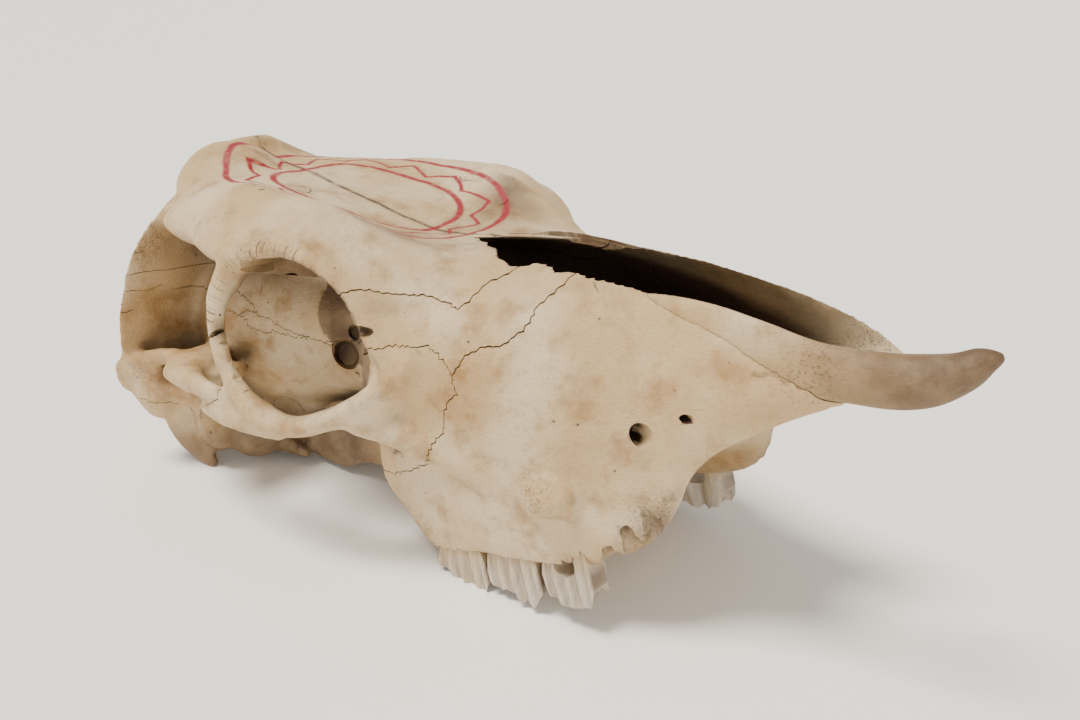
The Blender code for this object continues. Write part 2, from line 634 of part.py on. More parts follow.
def bone_material(name, colour, roughness):
    """A plain material with one colour and roughness."""
    material = bpy.data.materials.new(name)
    material.use_nodes = True
    shader = material.node_tree.nodes["Principled BSDF"]
    shader.inputs["Base Color"].default_value = (*colour, 1)
    shader.inputs["Roughness"].default_value = roughness
    shader.inputs["Metallic"].default_value = 0
    return material


def rest_on_floor(found):
    """Pitch the skull, flatten the points it rests on and put the middle of its floor plan at the origin."""
    pitch = Matrix.Rotation(-REST_PITCH, 4, "Y")
    level = REST_POINT[0] * math.sin(REST_PITCH) + REST_POINT[1] * math.cos(REST_PITCH)
    for obj in found.values():
        obj.data.transform(pitch)
        if min(vertex.co.z for vertex in obj.data.vertices) < level * MM:
            plan = ((-400, -400), (500, -400), (500, 400), (-400, 400))
            boolean(obj, prism("floor", plan, level - 100, level, "Z"), "DIFFERENCE")
    points = [vertex.co for obj in found.values() for vertex in obj.data.vertices]
    low = Vector(min(point[axis] for point in points) for axis in range(3))
    high = Vector(max(point[axis] for point in points) for axis in range(3))
    shift = Matrix.Translation((-(low.x + high.x) / 2, -(low.y + high.y) / 2, -level * MM))
    for obj in found.values():
        obj.data.transform(shift)


def main():
    """Build the skull in the scene."""
    clear_scene()
    found = bones(whole_skull())
    rest_on_floor(found)
    for name, obj in found.items():
        largest(obj)
        colour, roughness = (DENTINE, 0.45) if name.startswith("tooth") else (BONE, 0.6)
        obj.data.materials.clear()
        obj.data.materials.append(bone_material(name, colour, roughness))


main()
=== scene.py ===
import logging
import math
import random
from collections.abc import Iterable, Sequence
from dataclasses import dataclass, field
from enum import Enum

import bmesh
import bpy
import numpy as np
from mathutils import Matrix, Vector, noise
from mathutils.bvhtree import BVHTree
from mathutils.kdtree import KDTree


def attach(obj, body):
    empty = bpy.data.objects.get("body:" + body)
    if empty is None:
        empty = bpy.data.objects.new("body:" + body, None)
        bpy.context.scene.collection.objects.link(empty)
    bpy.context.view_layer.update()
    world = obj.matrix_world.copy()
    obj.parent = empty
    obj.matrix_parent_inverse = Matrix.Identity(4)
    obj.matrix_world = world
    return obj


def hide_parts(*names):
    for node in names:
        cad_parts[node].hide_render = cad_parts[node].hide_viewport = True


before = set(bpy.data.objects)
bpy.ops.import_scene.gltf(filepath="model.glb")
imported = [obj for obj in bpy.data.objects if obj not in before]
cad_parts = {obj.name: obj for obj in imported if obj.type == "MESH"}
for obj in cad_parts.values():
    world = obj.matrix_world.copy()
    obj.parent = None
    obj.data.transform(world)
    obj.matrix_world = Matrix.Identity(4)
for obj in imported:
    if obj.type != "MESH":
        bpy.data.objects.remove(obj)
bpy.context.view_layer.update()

# Skull of a young polled cow. Bones are shaped in the skull's own frame: millimetres, +X to the snout,
# +Y to the animal's left, +Z up from the chewing surface. Rest turns that frame into the row frame.

LOG = logging.getLogger("skull")
MM = 0.001
NOISE_SEED = 11

Flat = tuple[float, float]
Place = tuple[float, float, float]
Step = tuple[float, float, float, float, float]
Outline = Sequence[Flat]
Object = bpy.types.Object
Socket = bpy.types.NodeSocket

# Half outlines of the solid face, top of the midline to palate, as (half width, height) at each X.
FACE_SECTIONS: dict[float, Outline] = {
    150: ((0, 126), (28, 126), (44, 114), (52, 98), (54, 80), (54, 60), (52, 41), (44, 38), (30, 44),
         (0, 47)),
    163: ((0, 128), (30, 128), (47, 118), (57, 102), (60, 82), (56, 54), (55, 30), (45, 27), (30, 38),
         (0, 43)),
    178: ((0, 136), (34, 136), (56, 128), (67, 110), (68, 90), (60, 55), (57, 14), (44, 15), (32, 35),
         (0, 40)),
    205: ((0, 131), (32, 131), (52, 121), (66, 104), (68, 80), (63, 48), (58, 13), (42, 14), (32, 30),
         (0, 35)),
    235: ((0, 122), (29, 122), (47, 112), (60, 93), (64, 68), (62, 38), (57, 10), (41, 11), (32, 25),
         (0, 30)),
    262: ((0, 113), (26, 113), (41, 103), (51, 84), (54, 64), (53, 38), (53, 10), (39, 11), (30, 24),
         (0, 29)),
    283: ((0, 106), (25, 106), (36, 96), (43, 78), (46, 60), (45, 38), (45, 18), (33, 19), (27, 29), (0, 33)),
    295: ((0, 101), (25, 101), (34, 89), (40, 74), (42, 58), (41, 43), (39, 35), (31, 35), (24, 38), (0, 40)),
    307: ((0, 95.5), (25, 95.5), (33, 85), (38, 70), (39, 58), (37, 49), (34, 44), (27, 44), (19, 46),
         (0, 47)),
    325: ((0, 86.5), (25, 86.5), (31, 77), (34, 67), (34, 59), (32, 53), (28, 50), (22, 50), (15, 51),
         (0, 52)),
    345: ((0, 75), (24, 74), (28, 68), (30, 64), (29, 60), (26, 57), (22, 55), (16, 55), (8, 55), (0, 55)),
    357: ((0, 63), (22, 63), (26, 62), (28, 60), (27, 59), (25, 58), (22, 57), (16, 57), (8, 57), (0, 57)),
}
# Half outlines of the frontal roof: midline, forehead, bulge, edge, and its underside.
ROOF_SECTIONS: dict[float, Outline] = {
    31: ((0, 207), (13, 204), (23, 198), (29, 190), (29, 180), (20, 172), (0, 168)),
    45: ((0, 205), (22, 200), (38, 192.5), (49, 183), (54, 174), (36, 166), (0, 162)),
    58: ((0, 200), (25, 196), (45, 187.5), (60, 179), (66, 171), (42, 158), (0, 155)),
    72: ((0, 192), (28, 191), (50, 188), (66, 179), (72, 166), (42, 150), (0, 147)),
    90: ((0, 183), (30, 185), (54, 183.5), (69, 175), (75, 160), (38, 144), (0, 140)),
    115: ((0, 169), (32, 173), (58, 179), (75, 168), (83, 150), (34, 134), (0, 130)),
    135: ((0, 158), (34, 164), (60, 173), (79, 162), (87, 145), (32, 128), (0, 120)),
    155: ((0, 147), (35, 155), (60, 167), (79, 157), (87, 144), (31, 122), (0, 118)),
    171: ((0, 140), (34, 147), (58, 160), (73, 153), (81, 139), (30, 116), (0, 114)),
    188: ((0, 136), (30, 138), (50, 144), (64, 138), (72, 123), (28, 108), (0, 106)),
    215: ((0, 128), (28, 128), (40, 124), (56, 115), (52, 106), (26, 102), (0, 100)),
    238: ((0, 120), (24, 120), (33, 118), (42, 112), (40, 104), (20, 100), (0, 98)),
}
# Braincase: X, then top, widest half width and its height, floor half width, floor height.
CORE_SECTIONS: dict[float, tuple[float, float, float, float, float]] = {
    4: (168, 42, 115, 20, 66),
    25: (172, 46, 120, 23, 59),
    50: (165, 50, 118, 20, 60),
    75: (158, 47, 116, 16, 65),
    98: (150, 41, 114, 14, 67),
    118: (142, 35, 112, 13, 66),
    138: (136, 31, 108, 14, 62),
    158: (130, 32, 104, 18, 56),
    180: (126, 38, 96, 26, 46),
}
# Plate at the back of the skull, by height: half width, X of its back on the midline and at its edge.
SHIELD_LEVELS: dict[float, tuple[float, float, float]] = {
    66: (20, 10, 14),
    78: (50, 6, 6),
    90: (74, 2, 3),
    101: (84, 0, -1),
    110: (84, 2, 4),
    119: (84, 6, 11),
    133: (84, 12, 17),
    147: (82, 17, 26),
    160: (79, 22, 36),
    172: (72, 27, 44),
    188: (51, 31, 50),
    202: (25, 33, 50),
    210: (11, 33, 46),
}
# Nasal chamber, half outlines at each X.
CHAMBER_SECTIONS: dict[float, Outline] = {
    166: ((0, 122), (12, 120), (17, 110), (20, 96), (17, 76), (10, 68), (0, 66)),
    186: ((0, 129), (20, 126.5), (29, 112), (31, 96), (26, 72), (16, 58), (0, 56)),
    204: ((0, 132), (25, 122), (34, 110), (38, 94), (32, 68), (20, 50), (0, 48)),
    230: ((0, 140), (26.5, 119), (39.5, 107.5), (49, 90), (43, 62), (24, 46), (0, 42)),
    265: ((0, 140), (24.5, 112), (35, 99.5), (44.5, 80), (41, 58), (25, 43), (0, 38)),
    300: ((0, 140), (23.5, 100), (30, 86), (34.5, 72), (32, 61), (20, 54), (0, 51)),
    320: ((0, 140), (23, 88), (28.5, 78), (30.5, 67), (27, 61), (16, 58), (0, 57)),
    336: ((0, 140), (22, 84), (26, 72), (26.5, 65), (23, 60), (14, 50), (0, 38)),
    350: ((0, 140), (21, 84), (24.5, 70), (25, 64), (22, 58), (14, 44), (0, 26)),
    372: ((0, 140), (20, 84), (24, 70), (25, 63), (24, 56), (20, 40), (0, 20)),
}


class Side(Enum):
    """Which side of the animal a bone is on, as the sign of its Y."""

    RIGHT = -1
    LEFT = 1
    WHOLE = 0


@dataclass(frozen=True)
class Rest:
    """How the skull lies: pitched snout up on its molars and its paracondylar processes."""

    pitch: float = math.radians(17.2)
    point: Flat = (28.0, 49.9)
    middle: float = 158.4

    @property
    def level(self) -> float:
        """Height of the surface in the pitched skull frame, in millimetres."""
        return self.point[0] * math.sin(self.pitch) + self.point[1] * math.cos(self.pitch)

    def matrix(self) -> Matrix:
        """The move from the skull frame to the row frame, both in metres."""
        shift = Matrix.Translation((-self.middle * MM, 0, -self.level * MM))
        return shift @ Matrix.Rotation(-self.pitch, 4, "Y")


REST = Rest()


def cubic(before: Vector, start: Vector, end: Vector, after: Vector, t: float) -> Vector:
    """The Catmull-Rom point between start and end.

    Args:
        before: The point ahead of the span.
        start: The span's first point.
        end: The span's last point.
        after: The point beyond the span.
        t: The share of the span.

    Returns:
        The point on the curve.
    """
    return 0.5 * (
        2 * start
        + (end - before) * t
        + (2 * before - 5 * start + 4 * end - after) * t**2
        + (3 * start - before - 3 * end + after) * t**3
    )


def spline(values: Iterable[Sequence[float]], steps: int) -> list[Vector]:
    """Points on a smooth curve through values.

    Args:
        values: The points that the curve goes through, of any number of dimensions.
        steps: How many points each span gets.

    Returns:
        The points in order, the last one included.
    """
    points = [Vector(value) for value in values]
    ends = [2 * points[0] - points[1], *points, 2 * points[-1] - points[-2]]
    found = [
        cubic(*four, step / steps)
        for four in zip(ends, ends[1:], ends[2:], ends[3:])
        for step in range(steps)
    ]
    return [*found, points[-1]]


def linked(name: str, mesh: bpy.types.Mesh) -> Object:
    """A new object with the mesh, in the scene."""
    obj = bpy.data.objects.new(name, mesh)
    bpy.context.scene.collection.objects.link(obj)
    return obj


def select_only(*objects: Object) -> None:
    """Select these objects and nothing else, with the first one active."""
    bpy.ops.object.select_all(action="DESELECT")
    for obj in objects:
        obj.select_set(True)
    bpy.context.view_layer.objects.active = objects[0]


def modified(obj: Object, kind: str, **settings: object) -> None:
    """Add a modifier to obj and apply it.

    Args:
        obj: The object to change.
        kind: Blender's name of the modifier type.
        settings: The modifier's own settings.
    """
    modifier = obj.modifiers.new(kind.lower(), kind)
    for name, value in settings.items():
        setattr(modifier, name, value)
    select_only(obj)
    bpy.ops.object.modifier_apply(modifier=modifier.name)


def mesh_from_rings(name: str, rings: Sequence[Sequence[Sequence[float]]]) -> Object:
    """A closed tube through rings of points.

    Args:
        name: The new object's name.
        rings: Rings of points in millimetres, each with as many points.

    Returns:
        The new object.
    """
    shape = bmesh.new()
    rows = [[shape.verts.new(Vector(point) * MM) for point in ring] for ring in rings]
    for first, second in zip(rows, rows[1:]):
        for i in range(len(first)):
            j = (i + 1) % len(first)
            shape.faces.new((first[i], first[j], second[j], second[i]))
    shape.faces.new(rows[0])
    shape.faces.new(reversed(rows[-1]))
    bmesh.ops.recalc_face_normals(shape, faces=shape.faces)
    mesh = bpy.data.meshes.new(name)
    shape.to_mesh(mesh)
    shape.free()
    return linked(name, mesh)


def loft(name: str, sections: dict[float, Outline], steps: int = 6) -> Object:
    """A closed body through half outlines given at each X, mirrored over the midline.

    Args:
        name: The new object's name.
        sections: X to (half width, height) points from the top of the midline to its bottom.
        steps: Rings between two sections.

    Returns:
        The new object.
    """
    rings = []
    for x, half in sections.items():
        loop = [Vector(point) for point in half] + [Vector((-y, z)) for y, z in reversed(half[1:-1])]
        count = len(loop)
        ring = []
        for i in range(count):
            four = [loop[(i + k) % count] for k in (-1, 0, 1, 2)]
            ring += [Vector((x, *cubic(*four, step / 5))) for step in range(5)]
        rings.append(ring)
    rails = [spline(rail, steps) for rail in zip(*rings)]
    return mesh_from_rings(name, list(zip(*rails)))


def bar(
    name: str, path: Sequence[Step], up: Place = (0, 0, 1), rounded: bool = True, grow: float = 0.0
) -> Object:
    """A bar with an oval section along a smooth path.

    Args:
        name: The new object's name.
        path: Points (x, y, z, half width, half height).
        up: The direction that the half height is measured towards.
        rounded: True where a small ring beyond each end rounds the bar off.
        grow: How much is added to every half width and half height.

    Returns:
        The new object.
    """
    steps = list(path)
    if rounded:
        ends = []
        for end, inner in ((steps[0], steps[1]), (steps[-1], steps[-2])):
            away = (Vector(end[:3]) - Vector(inner[:3])).normalized() * min(end[3], end[4]) * 0.7
            ends.append((*(Vector(end[:3]) + away), end[3] * 0.45, end[4] * 0.45))
        steps = [ends[0], *steps, ends[1]]
    line = spline(steps, 6)
    centres = [Vector(point[:3]) for point in line]
    rings = []
    for i, centre in enumerate(centres):
        ahead = centres[min(i + 1, len(centres) - 1)] - centres[max(i - 1, 0)]
        across = ahead.cross(Vector(up)).normalized()
        upward = across.cross(ahead).normalized()
        wide, high = line[i][3] + grow, line[i][4] + grow
        angles = [2 * math.pi * k / 24 for k in range(24)]
        rings.append([centre + across * wide * math.cos(a) + upward * high * math.sin(a) for a in angles])
    return mesh_from_rings(name, rings)


def ball(name: str, centre: Place, radii: Place, turn: Place = (0, 0, 0)) -> Object:
    """An ellipsoid.

    Args:
        name: The new object's name.
        centre: Its middle in millimetres.
        radii: Its half sizes in millimetres.
        turn: Its turn about X, Y and Z in degrees.

    Returns:
        The new object, with its place in its mesh.
    """
    bpy.ops.object.select_all(action="DESELECT")
    bpy.ops.mesh.primitive_uv_sphere_add(
        segments=32,
        ring_count=20,
        radius=1,
        location=Vector(centre) * MM,
        rotation=[math.radians(angle) for angle in turn],
        scale=Vector(radii) * MM,
    )
    obj = bpy.context.object
    obj.name = name
    bpy.ops.object.transform_apply(location=True, rotation=True, scale=True)
    return obj


def prism(name: str, outline: Outline, low: float, high: float, axis: str = "Y") -> Object:
    """A closed prism over a flat outline.

    Args:
        name: The new object's name.
        outline: (x, z) points for axis Y, (x, y) points for axis Z.
        low: Where the prism starts along its axis.
        high: Where it ends.
        axis: "Y" or "Z".

    Returns:
        The new object.
    """
    rings = []
    for depth in (low, high):
        rings.append([(a, depth, b) if axis == "Y" else (a, b, depth) for a, b in outline])
    return mesh_from_rings(name, rings)


def mirrored(obj: Object, name: str) -> Object:
    """A copy of obj on the other side of the midline."""
    mesh = obj.data.copy()
    mesh.transform(Matrix.Diagonal((1, -1, 1, 1)))
    mesh.flip_normals()
    return linked(name, mesh)


def both(*objects: Object) -> list[Object]:
    """The objects and their mirror images."""
    return [side for obj in objects for side in (obj, mirrored(obj, obj.name + "_left"))]


def joined(name: str, pieces: Sequence[Object]) -> Object:
    """One object that holds the meshes of all pieces."""
    select_only(*pieces)
    bpy.ops.object.join()
    obj = bpy.context.object
    obj.name = name
    return obj


def soften(obj: Object, voxel: float, passes: int) -> None:
    """Rebuild the skin of obj on a grid of voxel millimetres and smooth it passes times."""
    modified(obj, "REMESH", mode="VOXEL", voxel_size=voxel * MM)
    modified(obj, "SMOOTH", factor=0.5, iterations=passes)


def cut(obj: Object, tool: Object, operation: str = "DIFFERENCE", keep: bool = False) -> None:
    """Cut obj with a closed tool, which is then removed unless it is kept."""
    modified(obj, "BOOLEAN", operation=operation, solver="MANIFOLD", object=tool)
    if not keep:
        bpy.data.objects.remove(tool)


def merged(name: str, tools: Sequence[Object]) -> Object:
    """One closed tool that takes up the room of all the tools."""
    first, *others = tools
    for other in others:
        cut(first, other, "UNION")
    first.name = name
    return first


def jagged(points: Outline, seed: int, reach: float, pace: float, closed: bool = False) -> list[Flat]:
    """The outline with small random zigzags, as a suture or a broken edge has.

    Args:
        points: The plain outline.
        seed: Seed of the random numbers.
        reach: The most that a point moves sideways, in millimetres.
        pace: The length of a zig or a zag, in millimetres.
        closed: True to zigzag the stretch from the last point to the first too.

    Returns:
        The points of the zigzag outline.
    """
    dice = random.Random(seed)
    found: list[Flat] = []
    ends = list(zip(points, points[1:])) + ([(points[-1], points[0])] if closed else [])
    flip = 1
    for start, end in ends:
        a, b = Vector(start), Vector(end)
        pieces = max(1, round((b - a).length / pace))
        side = Vector((b.y - a.y, a.x - b.x)).normalized()
        for k in range(pieces):
            flip = -flip
            share = (k + dice.uniform(-0.25, 0.25) * (k > 0)) / pieces
            place = a.lerp(b, share)
            wander = noise.noise(Vector((place.x / 9, place.y / 9, seed * 3.1))) * 2.0
            wander += noise.noise(Vector((place.x / 3.1, place.y / 3.1, seed * 1.7))) * 0.9
            found.append(tuple(place + side * (flip * dice.uniform(0.15, 0.95) ** 2 + wander) * reach))
    return found if closed else [*found, tuple(points[-1])]


def broken(points: Outline, seed: int, reach: float) -> list[Flat]:
    """The outline as a break in thin bone: bays of some centimetres with small chips along them.

    Args:
        points: The plain outline.
        seed: Which of all breaks this is.
        reach: The depth of the bays, in millimetres.

    Returns:
        The points of the broken outline.
    """
    found: list[Flat] = []
    for start, end in zip(points, points[1:]):
        a, b = Vector(start), Vector(end)
        side = Vector((b.y - a.y, a.x - b.x)).normalized()
        pieces = max(1, round((b - a).length / 0.9))
        for k in range(pieces):
            place = a.lerp(b, k / pieces)
            bay = noise.noise(Vector((place.x / 8, place.y / 8, seed * 5.3)))
            chip = noise.noise(Vector((place.x / 1.9, place.y / 1.9, seed * 9.7)))
            found.append(tuple(place + side * (bay + 0.45 * chip) * reach))
    return [*found, tuple(points[-1])]


def widened(outline: Outline, gap: float) -> list[Flat]:
    """The flat outline moved outwards by gap millimetres."""
    points = [Vector(point) for point in outline]
    count = len(points)
    area = sum(points[i - 1].x * points[i].y - points[i].x * points[i - 1].y for i in range(count))
    turn = 1 if area > 0 else -1
    found = []
    for i, point in enumerate(points):
        ahead = (points[(i + 1) % count] - point).normalized()
        behind = (point - points[i - 1]).normalized()
        normal = (Vector((ahead.y, -ahead.x)) + Vector((behind.y, -behind.x))) * turn
        found.append(tuple(point + normal.normalized() * gap / max(0.6, normal.length / 2)))
    return found


def keep_large(obj: Object, least: int) -> None:
    """Drop each closed part of obj that has fewer than least vertices."""
    shape = bmesh.new()
    shape.from_mesh(obj.data)
    left = set(shape.verts)
    small = []
    sizes = []
    while left:
        stack = [left.pop()]
        group = list(stack)
        while stack:
            for edge in stack.pop().link_edges:
                for vert in edge.verts:
                    if vert in left:
                        left.remove(vert)
                        group.append(vert)
                        stack.append(vert)
        sizes.append(len(group))
        if len(group) < least:
            small += group
    bmesh.ops.delete(shape, geom=small, context="VERTS")
    shape.to_mesh(obj.data)
    shape.free()
    LOG.info("%s parts %s", obj.name, sorted(sizes, reverse=True)[:5])


def vertex_arrays(obj: Object) -> tuple[np.ndarray, np.ndarray]:
    """Places in millimetres and normals of the vertices of obj, as arrays of three columns."""
    mesh = obj.data
    count = len(mesh.vertices)
    places, normals = np.empty(count * 3), np.empty(count * 3)
    mesh.vertices.foreach_get("co", places)
    mesh.vertex_normals.foreach_get("vector", normals)
    return places.reshape(-1, 3) / MM, normals.reshape(-1, 3)


@dataclass(frozen=True)
class Patch:
    """A round patch of weathered colour, relief or painted shade, on both sides of the skull or on its own
    side alone.
    """

    centre: Place
    radius: float
    amount: float = 1.0
    both_sides: bool = True

    def at(self, places: np.ndarray) -> np.ndarray:
        """Its strength at each place: the amount at its middle, falling to 0 at about its radius."""
        target = np.array(self.centre, float)
        own = places.copy()
        if self.both_sides:
            own[:, 1], target[1] = np.abs(own[:, 1]), abs(target[1])
        return self.amount * np.exp(-((np.linalg.norm(own - target, axis=1) / self.radius) ** 2) * 1.6)


def strength(places: np.ndarray, patches: Iterable[Patch]) -> np.ndarray:
    """The strength of all the patches together at each place."""
    return sum(patch.at(places) for patch in patches)


def write_layers(obj: Object, layers: dict[str, np.ndarray]) -> None:
    """Store one number a vertex under each layer's name, for the finishes to read."""
    for name, values in layers.items():
        layer = obj.data.attributes.new(name, "FLOAT", "POINT")
        layer.data.foreach_set("value", np.ascontiguousarray(values, dtype=np.float32))


# Where the skin itself is pitted, where pores show, where it is stained, and where shade is painted darker:
# under the base, in the eye bar's gap and in the empty tooth sockets.
PITTED = (
    Patch((40, -69, 168), 13), Patch((246, -62, 38), 14, 0.8), Patch((285, -46, 20), 14),
    Patch((345, -26, 68), 12, 0.9), Patch((16, -80, 104), 12, 0.8), Patch((172, -54, 24), 10, 0.7),
)
TUBERCLE_LUMP = Patch((247, -63, 39), 12, 2.2)
POROUS = (
    Patch((40, -69, 168), 15), Patch((246, -64, 38), 13), Patch((285, -46, 22), 15),
    Patch((345, -26, 68), 13),
    Patch((20, -78, 104), 12), Patch((150, -84, 150), 9), Patch((174, -56, 22), 12),
)
STAINED = (
    Patch((30, -60, 112), 34, 0.85), Patch((222, -66, 76), 20, 0.6, False), Patch((246, -64, 42), 18, 0.35),
    Patch((40, -70, 166), 18, 0.5), Patch((200, -68, 60), 16, 0.3), Patch((185, 40, 150), 24, 0.4, False),
    Patch((64, 0, 196), 24, 0.35), Patch((150, -88, 76), 22, 0.45), Patch((70, -52, 120), 34, 0.6),
    Patch((230, -60, 90), 26, 0.3),
)
# Painted shade, darker under the base, in the eye bar's gap and in the empty tooth sockets.
PAINTED_SHADE_PATCHES = (
    Patch((104, -50, 60), 40, 0.4), Patch((121, -91, 120.5), 5, 0.9), Patch((286, -45, 20), 12, 0.9),
    Patch((268, -48, 10), 10, 0.5),
)


@dataclass(frozen=True)
class Cranium:
    """Braincase, the plate behind it, condyles, processes and the arch's root."""

    rounded: tuple[tuple[str, Place, Place, Place], ...] = (
        ("condyle", (3, -25, 80), (15, 16, 19), (20, -20, 15)),
        ("bulla", (41, -37, 62), (17, 15, 14), (0, 14, 0)),
        ("bulla_edge", (34, -53, 71), (13, 12, 15), (0, 20, 0)),
        ("basilar_part", (46, -14, 61), (27, 14, 12), (0, 8, 0)),
        ("mastoid", (14, -66, 96), (15, 14, 18), (0, 0, 0)),
        ("ear_duct", (34, -58, 92), (12, 13, 11), (0, 0, 0)),
    )
    horn_bud: tuple[Place, Place] = ((54, -22, 182.5), (27, 28, 25.5))
    arch_root: tuple[Step, ...] = (
        (40, -44, 104, 14, 8), (50, -60, 106, 15, 7), (60, -74, 105, 14, 6), (72, -83, 102, 9, 6),
    )
    crest: tuple[Step, ...] = (
        (4, -78, 108, 5, 7), (20, -75, 111, 5, 6), (38, -71, 111, 5, 5), (56, -75, 108, 5, 5),
    )
    paracondylar: tuple[Step, ...] = (
        (15, -61, 96, 9, 14), (14, -61, 82, 7.5, 13), (16.5, -61, 68, 5.5, 11), (22, -59.5, 58, 3.8, 7.5),
        (28, -58, 51.5, 3, 4),
    )
    muscular: tuple[Step, ...] = ((44, -33, 58, 6, 7), (58, -30, 50, 3.5, 4.5), (66, -28, 45, 2.2, 2.4))
    arch_process: tuple[Step, ...] = (
        (66, -78, 104, 8, 6), (78, -85, 101, 6, 6), (92, -89, 97.5, 4, 5.5), (106, -91, 94.5, 3, 4.2),
        (116, -91, 92.5, 2.2, 2.8),
    )

    def core(self) -> Object:
        """The egg of the braincase with the base of the skull."""
        sections = {}
        for x, (top, width, middle, floor_width, floor) in CORE_SECTIONS.items():
            upper = middle + (top - middle) * 0.7
            lower = middle - (middle - floor) * 0.6
            bulge = floor_width + (width - floor_width) * 0.55
            sections[x] = (
                (0, top), (width * 0.62, upper), (width, middle), (bulge, lower),
                (floor_width, floor + 5), (floor_width * 0.6, floor), (0, floor),
            )
        return loft("core", sections)

    def shield(self) -> Object:
        """The upright plate at the back of the skull."""
        rings = []
        for z, (half, back, edge) in SHIELD_LEVELS.items():
            ring = []
            for i in range(56):
                a = 2 * math.pi * i / 56
                share = math.copysign(abs(math.cos(a)) ** 0.8, math.cos(a))
                depth = 10 * (1 - share**2) + 3
                middle = (back + 10) * (1 - share**2) + (edge + 3) * share**2
                x = middle + depth * math.copysign(abs(math.sin(a)) ** 0.8, math.sin(a))
                ring.append((x, half * share, z))
            rings.append(ring)
        rails = [spline(rail, 5) for rail in zip(*rings)]
        return mesh_from_rings("shield", list(zip(*rails)))

    def heavy(self) -> list[Object]:
        """The parts that are smoothed together with the face."""
        pairs = [ball(*sizes) for sizes in self.rounded]
        pairs += [bar("arch_root", self.arch_root), bar("crest", self.crest)]
        return [self.core(), self.shield(), ball("horn_bud", *self.horn_bud), *both(*pairs)]

    def slender(self) -> list[Object]:
        """The processes that heavy smoothing would wear away."""
        return both(
            bar("paracondylar", self.paracondylar, up=(1, 0, 0)),
            bar("muscular_process", self.muscular),
            bar("arch_process", self.arch_process),
            ball("joint_face", (66, -66, 97), (12, 20, 6), (0, -8, 12)),
        )

    def hole(self) -> Object:
        """The cutter of the hole for the spinal cord."""
        return bar("foramen_magnum", [
            (-30, 0, 92, 17, 15), (5, 0, 94, 17, 15), (30, 0, 98, 15, 14), (48, 0, 102, 8, 8),
        ], rounded=False)


@dataclass(frozen=True)
class Face:
    """The solid face and the roof over it, with the cheek's relief."""

    ridge: tuple[Step, ...] = (
        (168, -71, 74, 6, 7), (188, -66, 66, 6, 8), (212, -62, 54, 5, 8), (232, -59, 44, 5, 7),
    )
    palate_plate: tuple[Step, ...] = (
        (174, -26, 46, 4, 15), (155, -24, 47, 2.6, 15), (135, -22, 50, 2.4, 17), (112, -21, 53, 2.2, 18),
        (92, -20, 56, 2.2, 16), (78, -21, 56, 2.4, 13),
    )
    hook: tuple[Step, ...] = ((106, -21, 48, 2.4, 11), (93, -20.5, 44, 2.3, 8), (82, -20.5, 38.5, 2.2, 4.5))
    hook_back: tuple[Step, ...] = ((82, -20.5, 40, 2.2, 5), (70, -21, 48, 2.4, 8), (54, -22, 57, 3, 9))
    nerve_holes: tuple[tuple[Step, ...], ...] = (
        ((302, -53, 51, 2.9, 4.2), (284, -43, 56, 3.2, 4.6), (264, -36, 58, 3, 4)),
        ((312, -46, 56, 1.6, 1.6), (301, -38, 60, 1.9, 1.6), (292, -34, 62, 1.3, 1.3)),
    )

    def heavy(self) -> list[Object]:
        """Face, roof, facial tubercle and the ridge behind it."""
        tubercle = ball("tubercle", (246, -57, 38), (17, 8, 8), (0, 8, -14))
        pairs = both(tubercle, bar("ridge", self.ridge))
        return [loft("face", FACE_SECTIONS), loft("roof", ROOF_SECTIONS), *pairs]

    def slender(self) -> list[Object]:
        """The thin plates behind the palate."""
        return both(bar("plate", self.palate_plate), bar("hook", self.hook), bar("hook_back", self.hook_back))

    def holes(self) -> list[Object]:
        """Cutters of the nerve holes of the cheek."""
        return both(*(bar("nerve_hole", path, rounded=False) for path in self.nerve_holes))


